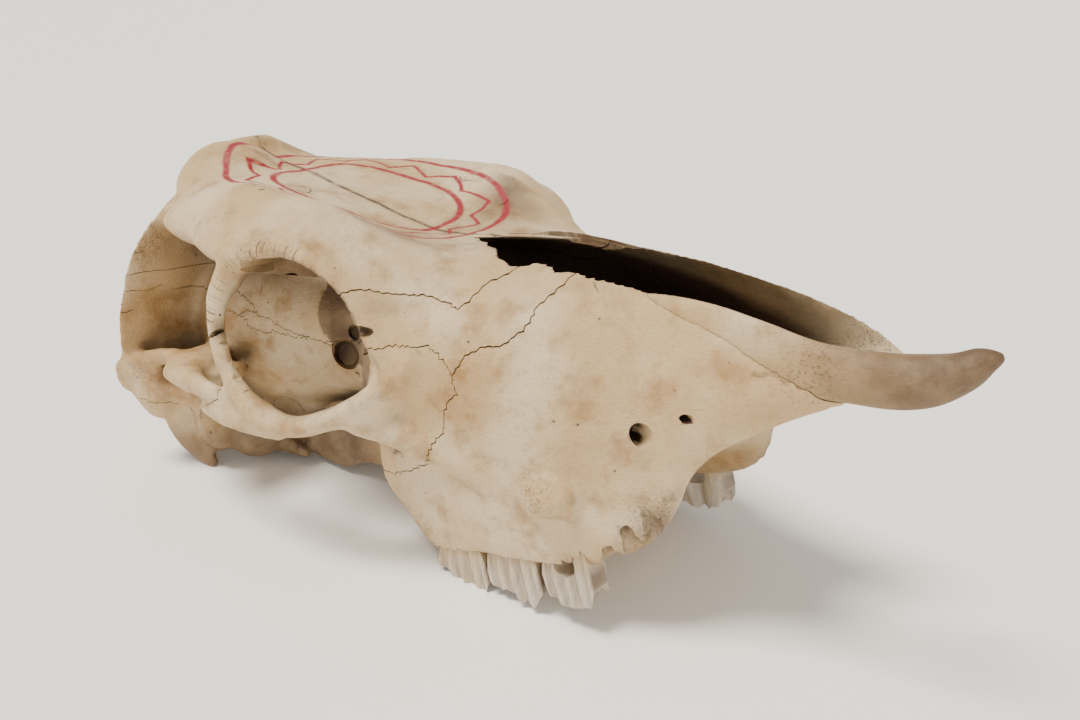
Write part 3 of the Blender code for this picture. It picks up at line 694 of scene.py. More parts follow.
@dataclass(frozen=True)
class EyeSocket:
    """Rim, bar and bowl of an eye socket, on both sides."""

    middle: Place = (150, -88, 113)
    upper_rim: tuple[Step, ...] = (
        (124, -83, 138, 5, 6), (136, -83, 146.5, 6, 3.5), (150, -84, 148.5, 7, 3.2), (164, -82, 146, 7, 3.5),
        (175, -77, 138, 7, 5), (182, -72, 128, 6, 6), (186, -68, 114, 6, 7), (190, -66, 102, 6, 8),
        (196, -64, 92, 6, 8),
    )
    lower_rim: tuple[Step, ...] = (
        (206, -62, 94, 6, 9), (192, -66, 86, 6, 10), (178, -72, 80, 6, 10), (164, -80, 77, 5, 9),
        (150, -85, 76, 5, 8.5),
        (138, -88, 79, 5, 8.5), (129, -90, 87, 5, 7),
    )
    cheek_process: tuple[Step, ...] = (
        (140, -88, 78, 4, 7), (124, -90, 80.5, 3.5, 6.5), (108, -91, 83.5, 3, 5), (96, -90, 86, 2.6, 4),
        (86, -88, 88.5, 2.2, 3),
    )
    eye_bar: tuple[Step, ...] = (
        (134, -89, 82, 5, 8), (124, -90, 90, 5.5, 5.5), (118, -90, 100, 5.5, 3.8), (116, -90, 110, 5.5, 3.5),
        (116, -89, 122, 5.5, 3.8), (119.5, -87, 133, 6, 4.6), (126, -83, 142, 6, 6.5), (134, -79, 149, 7, 7),
    )
    bowl: tuple[Step, ...] = (
        (167, -118, 114.5, 32.5, 32.5), (159, -92, 113.5, 31, 31.5), (151.5, -76, 111.5, 29.5, 31),
        (145, -60, 109, 26.5, 28.5), (136, -46, 106, 20, 22), (130, -38, 105, 10, 12),
    )
    below: tuple[Step, ...] = ((148, -62, 84, 12, 14), (142, -52, 60, 13, 15), (138, -50, 40, 13, 15))
    holes: tuple[tuple[str, tuple[Step, ...]], ...] = (
        ("ethmoid_hole", ((140, -52, 109, 3.6, 4.4), (130, -34, 105, 3.8, 4.4), (124, -24, 103, 3, 3))),
        ("optic_hole", ((132, -46, 95.5, 8, 9.5), (119, -31, 94, 7, 8.5), (108, -20, 93, 4.5, 5.5))),
        ("round_hole", ((139, -70, 86, 3.6, 3), (131, -60, 80.5, 3.4, 2.8), (126, -52, 77, 2.4, 2.2))),
        ("upper_orbit_hole", ((140, -68, 131, 3.4, 2.8), (132, -57, 137, 3.2, 2.7),
        (126, -47, 142, 2.4, 2.2))),
        ("tear_hole", ((176, -70, 104, 3, 3.5), (190, -62, 100, 3, 3.5), (202, -54, 96, 2, 2))),
        ("brow_hole", ((132, -62, 190, 1.2, 1.2), (131, -60, 176, 1.3, 1.3), (128, -56, 166, 1, 1))),
    )

    recess: tuple[Place, Place, Place] = ((126, -39, 102), (11, 11, 16), (0, 12, 0))
    wall_ridge: tuple[Step, ...] = (
        (127, -57, 129, 2.4, 2.2), (120.5, -49, 118, 3.4, 3), (118, -45.5, 106, 3.8, 3.4),
        (121, -47, 93, 3.6, 3),
        (128, -53, 80, 2.2, 2),
    )
    crisp_middle: Flat = (152.5, 112.5)
    crisp_radius: Flat = (32.0, 33.4)
    foot: tuple[Place, Place] = ((110, -90.5, 88), (8.5, 3.2, 6.5))

    def heavy(self) -> list[Object]:
        """The rims, which blend into roof and face."""
        return both(
            bar("upper_rim", self.upper_rim, up=(0, -1, 0.2)),
            bar("lower_rim", self.lower_rim, up=(0, -1, 0.2)),
        )

    def slender(self) -> list[Object]:
        """The bar behind the eye and the process back to the temporal bone."""
        return both(
            bar("cheek_process", self.cheek_process), bar("eye_bar", self.eye_bar, up=(0, -1, 0.2)),
            ball("bar_foot", *self.foot),
        )

    def bowls(self) -> list[Object]:
        """Cutters of the bowl, which opens below."""
        return both(
            bar("bowl", self.bowl, rounded=False), bar("below", self.below, up=(1, 0, 0), rounded=False),
            ball("recess", *self.recess),
        )

    def ridges(self) -> list[Object]:
        """The low ridge down the socket's inner wall."""
        return both(bar("wall_ridge", self.wall_ridge, up=(1, 0, 0)))

    def crisp_rim(self) -> Object:
        """The cutter that gives the front of the rim its ragged edge."""
        (x, z), (wide, high) = self.crisp_middle, self.crisp_radius
        turns = [math.radians(angle) for angle in range(-35, 216, 10)]
        edge = jagged([(x + wide * math.cos(a), z + high * math.sin(a)) for a in turns], 17, 1.3, 2.1)
        return prism("crisp_rim", [*edge, (x, z)], -97, -69.5)

    def small_cuts(self) -> list[Object]:
        """Cutters of the holes in the socket's wall, of its front edge, its notch and the gap in the bar."""
        notch = ball("rim_notch", (186, -73, 110), (7, 6, 2.4), (0, 15, 0))
        gap = ball("bar_gap", (121, -92, 120.5), (9, 6, 1.0), (0, -12, 0))
        holes = (bar(name, path, rounded=False) for name, path in self.holes)
        return both(self.crisp_rim(), notch, gap, *holes)


@dataclass(frozen=True)
class NasalChamber:
    """The chamber of the nose and the window left by the lost nasal bones."""

    near_back: Outline = (
        (192, 0), (200, -7), (206, -8), (212, -14), (218, -17), (224, -25), (233, -29.5), (238, -27),
    )
    near_lacrimal: Outline = ((238, -27), (243, -24.5), (248, -25.5), (252, -29.5), (257, -26))
    near_edge: Outline = (
        (257, -26), (266, -25), (277, -24.3), (285, -25.5), (320, -23), (345, -22), (380, -22),
    )
    far_edge: Outline = (
        (380, 24), (362, 25), (350, 22.5), (335, 23), (320, 23.5), (286, 24.5), (262, 26), (243, 27.5),
    )
    far_back: Outline = (
        (243, 27.5), (234, 29), (226, 27), (220, 22), (214, 20), (210, 12), (203, 10), (198, 3),
    )
    passage: tuple[Step, ...] = (
        (80, 0, 40, 15, 16), (110, 0, 44, 16, 20), (140, 0, 46, 18, 15), (170, 0, 56, 15, 12),
        (190, 0, 72, 13, 12),
    )
    roof_start: Flat = (195.0, 135.0)
    roof_fall: float = 0.35
    layers: tuple[tuple[float, float, float, int], ...] = ((-80.0, 1.5, 2.4, 31), (1.2, 3.4, 1.1, 37))
    splinters: tuple[tuple[Step, ...], ...] = (
        ((192, -4, 134.2, 3.4, 1.1), (202, 6, 131.0, 4.2, 1.2), (211, 16, 127.6, 3.4, 1.1),
        (220, 25, 124.0, 1.2, 0.6)),
    )

    def hollow(self) -> list[Object]:
        """Cutters of the chamber and of the passage behind it."""
        return [loft("chamber", CHAMBER_SECTIONS), bar("passage", self.passage, rounded=False)]

    def window(self) -> list[Object]:
        """Cutters of the window, ragged where bone broke away and stepped where its layers split."""
        edge = broken(self.near_back, 3, 1.6) + broken(self.near_lacrimal, 6, 1.0)[1:]
        edge += broken(self.near_edge, 11, 0.8)[1:] + broken(self.far_edge[:4], 5, 3.0)
        edge += broken(self.far_edge[3:], 9, 1.3)[1:] + broken(self.far_back, 7, 2.0)[1:]
        return [prism("window", edge, 92, 210, "Z"), *(self.layer(*sizes) for sizes in self.layers)]

    def layer(self, upper: float, lower: float, gap: float, seed: int) -> Object:
        """The cutter of one layer of the frontals' broken edge.

        Args:
            upper: Depth of the layer's top below the roof, in millimetres.
            lower: Depth of its bottom.
            gap: How much wider than the window the layer is broken away.
            seed: Which break this is.

        Returns:
            The cutter.
        """
        outline = broken(widened((*self.far_back, *self.near_back), gap), seed, 1.4)
        start, height = self.roof_start
        return mesh_from_rings("layer", [
            [(x, y, height - self.roof_fall * (x - start) - depth) for x, y in outline]
            for depth in (lower, upper)
        ])

    def fragile(self) -> list[Object]:
        """The splinters of the broken frontal bones."""
        return [bar("splinter", path, rounded=False) for path in self.splinters]


@dataclass(frozen=True)
class LostTeeth:
    """Empty sockets in front of the cheek teeth, with their broken, spongy walls."""

    edge: Outline = (
        (259, 9), (264, 11.5), (271.3, 13.1), (278.8, 16.6), (280.5, 20.1), (283.3, 21), (286.2, 25.6),
        (289.4, 25),
        (291.9, 23.6), (295.4, 25.9), (297.7, 30.7), (298.6, 32.8), (303, 38),
    )
    below: Outline = ((318, 36), (318, -12), (260, -12))
    sockets: tuple[tuple[Place, Place, Place], ...] = (
        ((267, -49.5, 8), (4.2, 4.6, 11), (0, -12, 0)),
        ((276, -48, 13), (3.6, 4.2, 12), (0, -14, 0)),
        ((284.5, -46, 19), (3.6, 4.4, 11), (0, -18, 0)),
        ((293, -42.5, 27), (3.6, 4, 10), (0, -24, 0)),
    )
    spurs: tuple[tuple[Step, ...], ...] = (
        ((292, -46, 34, 2.4, 3.4), (290.5, -48.5, 28, 2.0, 3.0), (288.8, -49.5, 23.5, 1.0, 1.6)),
        ((281, -49, 22, 2.0, 2.4), (280, -50.5, 17, 1.5, 1.8), (279.5, -51, 13.5, 0.7, 0.9)),
    )

    def cutters(self) -> list[Object]:
        """One rough cutter for each socket and one for the broken cheek wall, on both sides."""
        found = both(prism("broken_wall", [*jagged(self.edge, 41, 0.9, 1.3), *self.below], -82, -43))
        for number, (centre, radii, turn) in enumerate(self.sockets):
            for tool in both(ball(f"lost_tooth_{number}", centre, radii, turn)):
                for vertex in tool.data.vertices:
                    vertex.co += noise.noise_vector(vertex.co / (3.2 * MM)) * 1.4 * MM
                found.append(tool)
        return found

    def fragile(self) -> list[Object]:
        """The bits of socket wall that still hang on."""
        return both(*(bar("spur", path, up=(0, -1, 0)) for path in self.spurs))


@dataclass(frozen=True)
class BoneDomain:
    """The part of the skin that becomes one bone, as an (x, z) outline between two |y|."""

    name: str
    outline: Outline
    inner: float
    outer: float = 140.0
    gap: float = 0.4
    reach: float = 0.9
    pace: float = 1.4
    sides: tuple[Side, ...] = (Side.RIGHT, Side.LEFT)

    def label(self, side: Side) -> str:
        """The name of the CAD node that this bone stands for."""
        return self.name if side is Side.WHOLE else f"{self.name}_{side.name.lower()}"

    def take(self, rest: Object, side: Side) -> Object:
        """Cut this bone out of rest.

        Args:
            rest: What is left of the skull's skin, which loses the bone and its sutures.
            side: The side to cut.

        Returns:
            The bone.
        """
        outline = jagged(self.outline, len(self.name) * 7 + side.value, self.reach, self.pace, closed=True)
        low, high = (-self.outer, self.outer) if side is Side.WHOLE else (self.inner, self.outer)
        if side is Side.RIGHT:
            low, high = -high, -low
        piece = linked(self.label(side), rest.data.copy())
        cut(piece, prism("domain", outline, low, high), "INTERSECT")
        cut(rest, prism("suture", widened(outline, self.gap), low - self.gap, high + self.gap))
        return piece


# Each outline overlaps the bones that are taken before it, so only its open sides make sutures.
ZYGOMATIC = BoneDomain("zygomatic", (
    (70, 56), (76, 87), (92, 89), (108, 92), (112, 97), (107, 104), (102, 119), (136, 119), (150, 108),
    (172, 102),
    (180, 100), (189, 102), (198, 101), (206, 100), (213, 99), (219, 93), (223, 87.5), (223, 80), (218, 78),
    (210, 66.5), (202, 58), (195, 52), (180, 49), (164, 45), (154, 49), (140, 46), (110, 56),
), 48, gap=0.5)
LACRIMAL = BoneDomain("lacrimal", (
    (166, 92), (200, 90), (214, 84), (222, 86), (228, 94), (234, 95), (240, 95), (245, 96), (249, 100),
    (251, 106),
    (256, 109), (260, 118), (248, 130), (236, 119), (229, 116), (223.5, 110.7), (212, 116), (204, 120),
    (196, 122.6),
    (184, 125), (176, 118), (170, 110),
), 14, gap=0.6)
FRONTAL = BoneDomain("frontal", (
    (-60, 172), (25, 160), (38, 152), (50, 144), (62, 135), (75, 126), (85, 119), (95, 112), (110, 103),
    (130, 100),
    (150, 101), (168, 100), (184, 110), (212, 108), (223.5, 106), (240, 110), (250, 132), (250, 260),
    (-60, 260),
), 0, reach=1.2, sides=(Side.WHOLE,))
TEMPORAL = BoneDomain("temporal", (
    (-60, 99), (6, 97), (28, 84), (34, 66), (36, 40), (62, 40), (64, 66), (100, 74), (122, 80), (124, 97),
    (100, 108), (84, 112), (72, 119), (60, 125), (49, 131), (40, 138), (25, 147), (10, 152), (-60, 160),
), 30, reach=1.3)
OCCIPITAL = BoneDomain("occipital", (
    (-60, 20), (61, 20), (61, 76), (30, 90), (14, 98), (10, 120), (10, 152), (-60, 160),
), 0, sides=(Side.WHOLE,))
PALATINE = BoneDomain("palatine", ((61.5, 20), (196, 20), (196, 62), (160, 72), (120, 66), (61.5, 62)), 0, 35)
MAXILLA = BoneDomain("maxilla", (
    (150, -20), (420, -20), (420, 160), (176, 160), (174, 100), (160, 86), (150, 60),
), 0, reach=0.4)
SPHENOID = BoneDomain("sphenoid", (
    (20, 20), (180, 20), (172, 110), (95, 122), (20, 126),
), 0, sides=(Side.WHOLE,))


@dataclass(frozen=True)
class Premaxilla:
    """The one premaxilla that is left, the right one."""

    path: tuple[Step, ...] = (
        (283, -25, 99.5, 2.4, 3.4), (296, -26, 94.5, 2.8, 6.5), (312, -26.5, 87, 3.2, 9),
        (328, -26.5, 78, 3.4, 10.5),
        (345, -26, 70.5, 4.2, 9.5), (358, -24, 66.5, 6, 9), (369, -20.8, 63.3, 7.5, 9),
        (378, -17.6, 62.2, 8, 8.4),
        (386, -14, 63.0, 7, 6.6), (392, -11, 65.0, 4.8, 4.9), (396.3, -9.0, 65.6, 2.4, 2.4),
    )

    def bone(self, grow: float = 0.0) -> Object:
        """The bone, or with grow the cutter of its seat in the maxilla."""
        body = bar("premaxilla_right", self.path, grow=grow)
        soften(body, 0.8, 6)
        return body


@dataclass(frozen=True)
class CheekTooth:
    """A cheek tooth of the upper jaw: ridged cheek side, two lobes, sharp tips and roots."""

    name: str
    start: float
    end: float
    buccal: float
    lingual: float
    worn: Outline
    top: float
    root_gap: Place | None = None
    count: int = 66

    def cheek_side(self, share: float) -> float:
        """|Y| of the cheek side at a share of the tooth's length."""
        ridges = ((0.05, 1.9, 0.06), (0.27, 1.7, 0.1), (0.52, 2.4, 0.06), (0.76, 1.7, 0.1), (0.95, 1.8, 0.06))
        lift = sum(high * math.exp(-(((share - at) / wide) ** 2)) for at, high, wide in ridges)
        return self.buccal - 1.3 + lift

    def tongue_side(self, share: float) -> float:
        """|Y| of the tongue side at a share of the tooth's length."""
        cleft = 2.4 * abs(math.cos(math.pi * share * 2)) ** 3 * (0.2 < share < 0.8)
        return self.lingual + cleft + 5.0 * (2 * share - 1) ** 6

    def shape(self, side: Side, grow: float = 0.0) -> Object:
        """The tooth, or with grow the cutter of its socket.

        Args:
            side: The side of the jaw.
            grow: How far the shape stands out from the tooth, in millimetres.

        Returns:
            The new object.
        """
        outline = [(k / (self.count - 1), True) for k in range(self.count)]
        outline += [(1 - (k + 0.5) / 34, False) for k in range(34)]
        middle = (self.buccal + self.lingual) / 2
        length = self.end - self.start
        levels = ((self.top, 0.6), (24.0, 0.68), (16.0, 0.78), (10.0, 0.91), (5.0, 1.0), (0.5, 0.99))
        hollows = {0.955: 0.0, 0.8: 0.7, 0.55: 3.4, 0.25: 2.2}
        rings = []
        for height, scale in (*levels, *((None, scale) for scale in hollows)):
            ring = []
            for share, cheek in outline:
                side_y = self.cheek_side(share) if cheek else self.tongue_side(share)
                x = self.start + length / 2 + (share - 0.5) * (length * scale + 2 * grow)
                y = middle + (side_y - middle) * scale + math.copysign(grow, side_y - middle)
                tip = float(np.interp(share, *zip(*self.worn)))
                z = height
                if height is None:
                    z = tip + (hollows[scale] + (0 if cheek else 1.6)) - grow
                elif height < 7:
                    z = max(height, tip + 1.5)
                ring.append((x, -y if side is Side.RIGHT else y, z))
            rings.append(ring)
        return mesh_from_rings(f"{self.name}_{side.name.lower()}", self.between(rings))

    @staticmethod
    def between(rings: list[list[Place]]) -> list[list[Vector]]:
        """The rings with two more between each pair, so that ridges and bumps have room."""
        found = []
        for first, second in zip(rings, rings[1:]):
            found += [[Vector(a).lerp(Vector(b), k / 3) for a, b in zip(first, second)] for k in range(3)]
        return [*found, [Vector(point) for point in rings[-1]]]

    def finished(self, side: Side) -> Object:
        """The tooth with its worn, uneven skin and the gap between its roots."""
        tooth = self.shape(side)
        if self.root_gap is not None:
            x, y, z = self.root_gap
            cut(tooth, ball("root_gap", (x, side.value * abs(y), z), (5.2, 20, 4.2)))
        for vertex in tooth.data.vertices:
            place = vertex.co / MM
            wear = noise.noise_vector(Vector((place.x / 3.6, place.y / 3.6, place.z / 9)))
            vertex.co += Vector((wear.x, wear.y, wear.z * 1.6)) * 0.34 * MM
        return tooth


TEETH = (
    CheekTooth("tooth_dp4", 234.4, 258.6, 55.5, 42.0, (
        (0, -2), (0.08, -4.5), (0.25, -7), (0.42, -9), (0.5, -7.2), (0.64, -8.8), (0.73, -7), (0.86, -8),
        (0.95, -5), (1, -1),
    ), 33.0, root_gap=(246.5, 49, 8.5)),
    CheekTooth("tooth_m1", 206.4, 234.0, 57.0, 41.5, (
        (0, 0), (0.1, -2), (0.22, -3.4), (0.3, -2.5), (0.4, -4.8), (0.47, -4), (0.58, -8.4), (0.66, -6.2),
        (0.8, -9.4), (0.92, -6), (1, -3.5),
    ), 33.0),
    CheekTooth("tooth_m2", 178.5, 206.0, 57.0, 41.5, (
        (0, 5.5), (0.12, 4), (0.3, 0.5), (0.48, -4), (0.56, -2.2), (0.62, -3.8), (0.8, -6.3), (0.93, -5),
        (1, -1),
    ), 36.0),
)


class WeatheringAndShade:
    """What age and earth did to the bone, and the shade painted into its hollows, kept as vertex attributes
    that the finishes read.
    """

    def __init__(self, skin: Object, every: int = 22, reach: float = 70.0) -> None:
        """Measure how enclosed the skin is, at every so many vertices, within reach millimetres."""
        places, normals = vertex_arrays(skin)
        tree = BVHTree.FromPolygons(
            [tuple(place) for place in places], [tuple(face.vertices) for face in skin.data.polygons]
        )
        golden = math.pi * (3 - math.sqrt(5))
        rays = []
        for k in range(36):
            z = 1 - 2 * (k + 0.5) / 36
            r = math.sqrt(1 - z * z)
            rays.append(Vector((r * math.cos(golden * k), r * math.sin(golden * k), z)))
        chosen = range(0, len(places), every)
        self.tree = KDTree(len(chosen))
        self.closed: list[float] = []
        self.normals: list[Vector] = []
        for number, i in enumerate(chosen):
            normal = Vector(normals[i])
            start = Vector(places[i]) + normal * 0.8
            total = hits = 0.0
            for ray in rays:
                lean = ray.dot(normal)
                if lean > 0.1:
                    distance = tree.ray_cast(start, ray, reach)[3]
                    total += lean
                    hits += lean * (1 - distance / reach) if distance is not None else 0.0
            self.closed.append(hits / total if total else 0.0)
            self.normals.append(normal)
            self.tree.insert(Vector(places[i]), number)
        self.tree.balance()

    def enclosed(self, places: np.ndarray, normals: np.ndarray) -> np.ndarray:
        """How enclosed each place is, from 0 in the open to 1 deep inside; the finish paints it as shade."""
        found = np.empty(len(places))
        for i, (place, normal) in enumerate(zip(places, normals)):
            near = self.tree.find_n(place, 4)
            own = Vector(normal)
            weights = [max(0.02, self.normals[n].dot(own)) ** 2 / (distance + 0.5) for _, n, distance in near]
            found[i] = sum(self.closed[n] * w for (_, n, _), w in zip(near, weights)) / sum(weights)
        return found

    @staticmethod
    def nose(places: np.ndarray, normals: np.ndarray) -> np.ndarray:
        """How much shade is painted on each place of the nose's inside, from 0 outside it to 1 deep in it."""
        x, y, z = places.T
        inward = np.clip(-normals[:, 1] * np.sign(y) * 1.6 + 0.1, 0, 1)
        within = np.clip((x - 158) / 14, 0, 1) * (np.abs(y) < 54) * (z > 38) * np.clip((352 - x) / 8, 0, 1)
        under_roof = (normals[:, 2] < -0.2) & (np.abs(y) < 34) & (z > 96)
        floor = (normals[:, 2] > 0.3) & (np.abs(y) < 40) & (z < 72)
        depth = np.interp(x, (180, 235, 285, 330, 352), (1.0, 0.98, 0.8, 0.42, 0.25))
        brim = np.interp(x, (200, 235, 262, 283, 295, 307, 325, 345), (134, 117, 106, 97, 90, 86, 78, 68))
        sunk = 0.42 + 0.58 * np.clip((brim - z) / 13, 0, 1)
        return np.clip(within * np.maximum(inward, np.maximum(under_roof, floor)), 0, 1) * depth * sunk

    @staticmethod
    def forehead(places: np.ndarray, normals: np.ndarray) -> np.ndarray:
        """How much each place is part of the roof's open top, from 0 to 1."""
        x, y, z = places.T
        facing = np.clip((normals[:, 2] - 0.3) / 0.2, 0, 1) * np.clip((66 - np.abs(y)) / 6, 0, 1)
        roof = np.interp(x, (31, 58, 90, 135, 171, 210), (186, 176, 166, 150, 138, 124))
        return facing * (z > roof) * (x > 20) * (x < 210)

    @staticmethod
    def bowl(places: np.ndarray, normals: np.ndarray, ring: np.ndarray) -> np.ndarray:
        """How much each place is part of a socket's inside, at ring millimetres from its middle; shade is
        painted there.
        """
        x, y, z = places.T
        inwards = (EYES.middle[0] - x) * normals[:, 0] + (EYES.middle[2] - z) * normals[:, 2]
        to_middle = inwards / np.maximum(ring, 1)
        facing_in = np.clip(np.maximum(to_middle * 2, normals[:, 1] * np.sign(y) * 1.5), 0, 1) * (ring < 37)
        return facing_in * np.clip((89 - np.abs(y)) / 10, 0, 1) * (np.abs(y) > 22) * (x > 104)

    def mark(self, obj: Object) -> None:
        """Write the attributes of obj, which is still in the skull frame."""
        places, normals = vertex_arrays(obj)
        x, y, z = places.T
        over_x, over_z = x - EYES.middle[0], z - EYES.middle[2]
        ring = np.hypot(over_x, over_z)
        bowl = self.bowl(places, normals, ring)
        forehead = self.forehead(places, normals)
        # Painted shade under the base, inside the eye sockets and in crevices; on the premaxilla its real
        # darker tone towards the tip.
        brown = 0.75 * np.clip((80 - z) / 16, 0, 1) * np.clip((135 - x) / 40, 0, 1)
        brown += 0.6 * bowl + strength(places, PAINTED_SHADE_PATCHES)
        if obj.name.startswith("premaxilla"):
            brown = np.interp(x, (300, 335, 352, 372, 398), (0.0, 0.15, 0.55, 0.8, 1.0))
        write_layers(obj, {
            # Painted shade: darker where the skin is enclosed, and more inside the eye sockets.
            "shade": self.enclosed(places, normals) + 0.24 * bowl,
            # Painted shade inside the nasal chamber.
            "nose": self.nose(places, normals),
            "forehead": forehead,
            "midline": np.exp(-((y / 1.3) ** 2)) * forehead,
            "brown": np.clip(brown, 0, 1),
            "porous": np.clip(strength(places, POROUS), 0, 1),
            "stain": np.clip(strength(places, STAINED), 0, 1.35),
            "rim_turn": np.arctan2(over_z, over_x),
            "rim": np.exp(-(((ring - 36) / 4.0) ** 2)) * (np.abs(y) > 72) * (z > 110) * (x < 176),
        })


EYES = EyeSocket()


def linear(code: str) -> tuple[float, float, float, float]:
    """The linear colour, with full alpha, of an sRGB hex value such as "d2beaa"."""
    parts = [int(code[i : i + 2], 16) / 255 for i in (0, 2, 4)]
    return (*(p / 12.92 if p <= 0.04045 else ((p + 0.055) / 1.055) ** 2.4 for p in parts), 1.0)


def feed(tree: bpy.types.NodeTree, node: bpy.types.Node, inputs: dict) -> None:
    """Give the node's inputs, by socket name or number, their values or the sockets that feed them."""
    for name, value in inputs.items():
        if isinstance(value, Socket):
            tree.links.new(value, node.inputs[name])
        else:
            node.inputs[name].default_value = value


def add_node(
    tree: bpy.types.NodeTree, kind: str, inputs: dict | None = None, **settings: object
) -> bpy.types.Node:
    """Add a node with its settings, values and links.

    Args:
        tree: The material's node tree.
        kind: The node type's name without its "ShaderNode" start.
        inputs: Socket name or number to a value or to the output socket that feeds it.
        settings: The node's own settings.

    Returns:
        The new node.
    """
    node = tree.nodes.new("ShaderNode" + kind)
    for name, value in settings.items():
        setattr(node, name, value)
    feed(tree, node, inputs or {})
    return node


class Finish:
    """A material in the making, on the skull's own coordinates, with sizes in millimetres."""

    def __init__(self, name: str) -> None:
        """Start the material, with places as the skull lies and turned back level."""
        self.material = bpy.data.materials.new(name)
        self.material.use_nodes = True
        self.tree = self.material.node_tree
        self.place = self.node("TexCoord", output="Object")
        self.turned = self.node("Mapping", {"Vector": self.place, "Rotation": (0, REST.pitch, 0)})

    def node(
        self, kind: str, inputs: dict | None = None, output: int | str = 0, **settings: object
    ) -> Socket:
        """One output of a new node."""
        return add_node(self.tree, kind, inputs, **settings).outputs[output]

    def maths(self, operation: str, one: object, other: object = 0.0) -> Socket:
        """An operation on two numbers or sockets."""
        return self.node("Math", {0: one, 1: other}, operation=operation)

    def times(self, one: object, other: object) -> Socket:
        """Two numbers or sockets multiplied."""
        return self.maths("MULTIPLY", one, other)

    def vectors(self, operation: str, *vectors: object) -> Socket:
        """An operation on vectors."""
        return self.node("VectorMath", dict(enumerate(vectors)), operation=operation)

    def attribute(self, name: str) -> Socket:
        """The number that the vertices hold under name."""
        return self.node("Attribute", output="Fac", attribute_name=name)

    def ramp(self, source: Socket, low: float, high: float, end: float = 1.0, start: float = 0.0) -> Socket:
        """The source's stretch from low to high made into start to end, and held beyond it."""
        stretch = {"Value": source, "From Min": low, "From Max": high, "To Min": start, "To Max": end}
        return self.node("MapRange", stretch, clamp=True)

    def fall(self, source: Socket, low: float, high: float) -> Socket:
        """1 where the source is below low, falling to 0 at high."""
        return self.ramp(source, low, high, 0.0, 1.0)

    def noise(
        self, size: float, detail: float, rough: float = 0.5, place: Socket | None = None, output: str = "Fac"
    ) -> Socket:
        """Noise with blotches of about size millimetres."""
        return self.node("TexNoise", {
            "Vector": place or self.turned, "Scale": 1 / (size * MM), "Detail": detail, "Roughness": rough,
        }, output)

    def cells(
        self, size: float, place: Socket | None = None, output: str = "Distance", **settings: object
    ) -> Socket:
        """Cells of about size millimetres."""
        inputs = {"Vector": place or self.turned, "Scale": 1 / (size * MM)}
        return self.node("TexVoronoi", inputs, output, **settings)

    def over(self, under: object, cover: Socket, code: str) -> Socket:
        """The colour under, with the colour of a hex value over it as far as cover says."""
        return self.node("Mix", {"Factor": cover, 6: under, 7: linear(code)}, 2, data_type="RGBA")

    def bump(self, height: Socket, strength: float, depth: float) -> Socket:
        """The normals of a relief."""
        return self.node("Bump", {"Height": height, "Strength": strength, "Distance": depth * MM})

    def surface(self, inputs: dict[str, object]) -> bpy.types.Material:
        """The material, with these inputs given to its shader."""
        feed(self.tree, self.tree.nodes["Principled BSDF"], inputs)
        return self.material


@dataclass(frozen=True)
class PaintedBand:
    """A hand-drawn band in thin red paint: two rounded lines with a plain zigzag between them."""

    red: str = "8c0e20"
    middle: Place = (126, 1, 165)
    half_length: float = 60.0
    half_width: float = 49.0
    lean: float = math.radians(-4)
    line: float = 1.9
    squareness: float = 3.2
    zigzags: int = 26
    shake: float = 0.0025

    def over(self, finish: Finish, colour: Socket) -> Socket:
        """The colour with the band painted over it.

        Args:
            finish: The material in the making.
            colour: The colour under the paint.

        Returns:
            The socket of the painted colour.
        """
        maths = finish.maths
        wobble = finish.noise(16, 2, output="Color")
        shake = finish.vectors("MULTIPLY_ADD", wobble, (self.shake,) * 3, (-self.shake / 2,) * 3)
        moved = finish.vectors("ADD", finish.turned, shake)
        origin = Matrix.Rotation(REST.pitch, 4, "Y") @ (REST.matrix() @ (Vector(self.middle) * MM))
        own = finish.node("Mapping", {"Vector": moved, "Location": (-origin.x, -origin.y, 0)})
        own = finish.node("Mapping", {"Vector": own, "Rotation": (0, 0, self.lean)})
        parts = add_node(finish.tree, "SeparateXYZ", {0: own}).outputs
        along = maths("DIVIDE", parts[0], self.half_length * MM)
        across = maths("DIVIDE", parts[1], self.half_width * MM)
        power = [maths("POWER", maths("ABSOLUTE", value), self.squareness) for value in (along, across)]
        ring = maths("POWER", maths("ADD", *power), 1 / self.squareness)
        mean = (self.half_length + self.half_width) / 2
        turn = maths("ARCTAN2", across, along)
        zig = maths("PINGPONG", finish.times(turn, self.zigzags / (2 * math.pi)), 1.0)
        middle = maths("ADD", finish.times(maths("SUBTRACT", zig, 0.5), 0.13), 0.815)
        marks = [
            finish.fall(maths("ABSOLUTE", maths("SUBTRACT", ring, target)), width * 0.45 / mean, width / mean)
            for target, width in ((1.0, self.line), (0.66, self.line), (middle, self.line * 0.75))
        ]
        mark = maths("MAXIMUM", maths("MAXIMUM", marks[0], marks[1]), marks[2])
        worn = finish.ramp(finish.noise(3.5, 3), 0.3, 0.5, 1.0, 0.72)
        cover = finish.times(finish.times(mark, worn), finish.attribute("forehead"))
        return finish.over(colour, cover, self.red)


PAINT = PaintedBand()


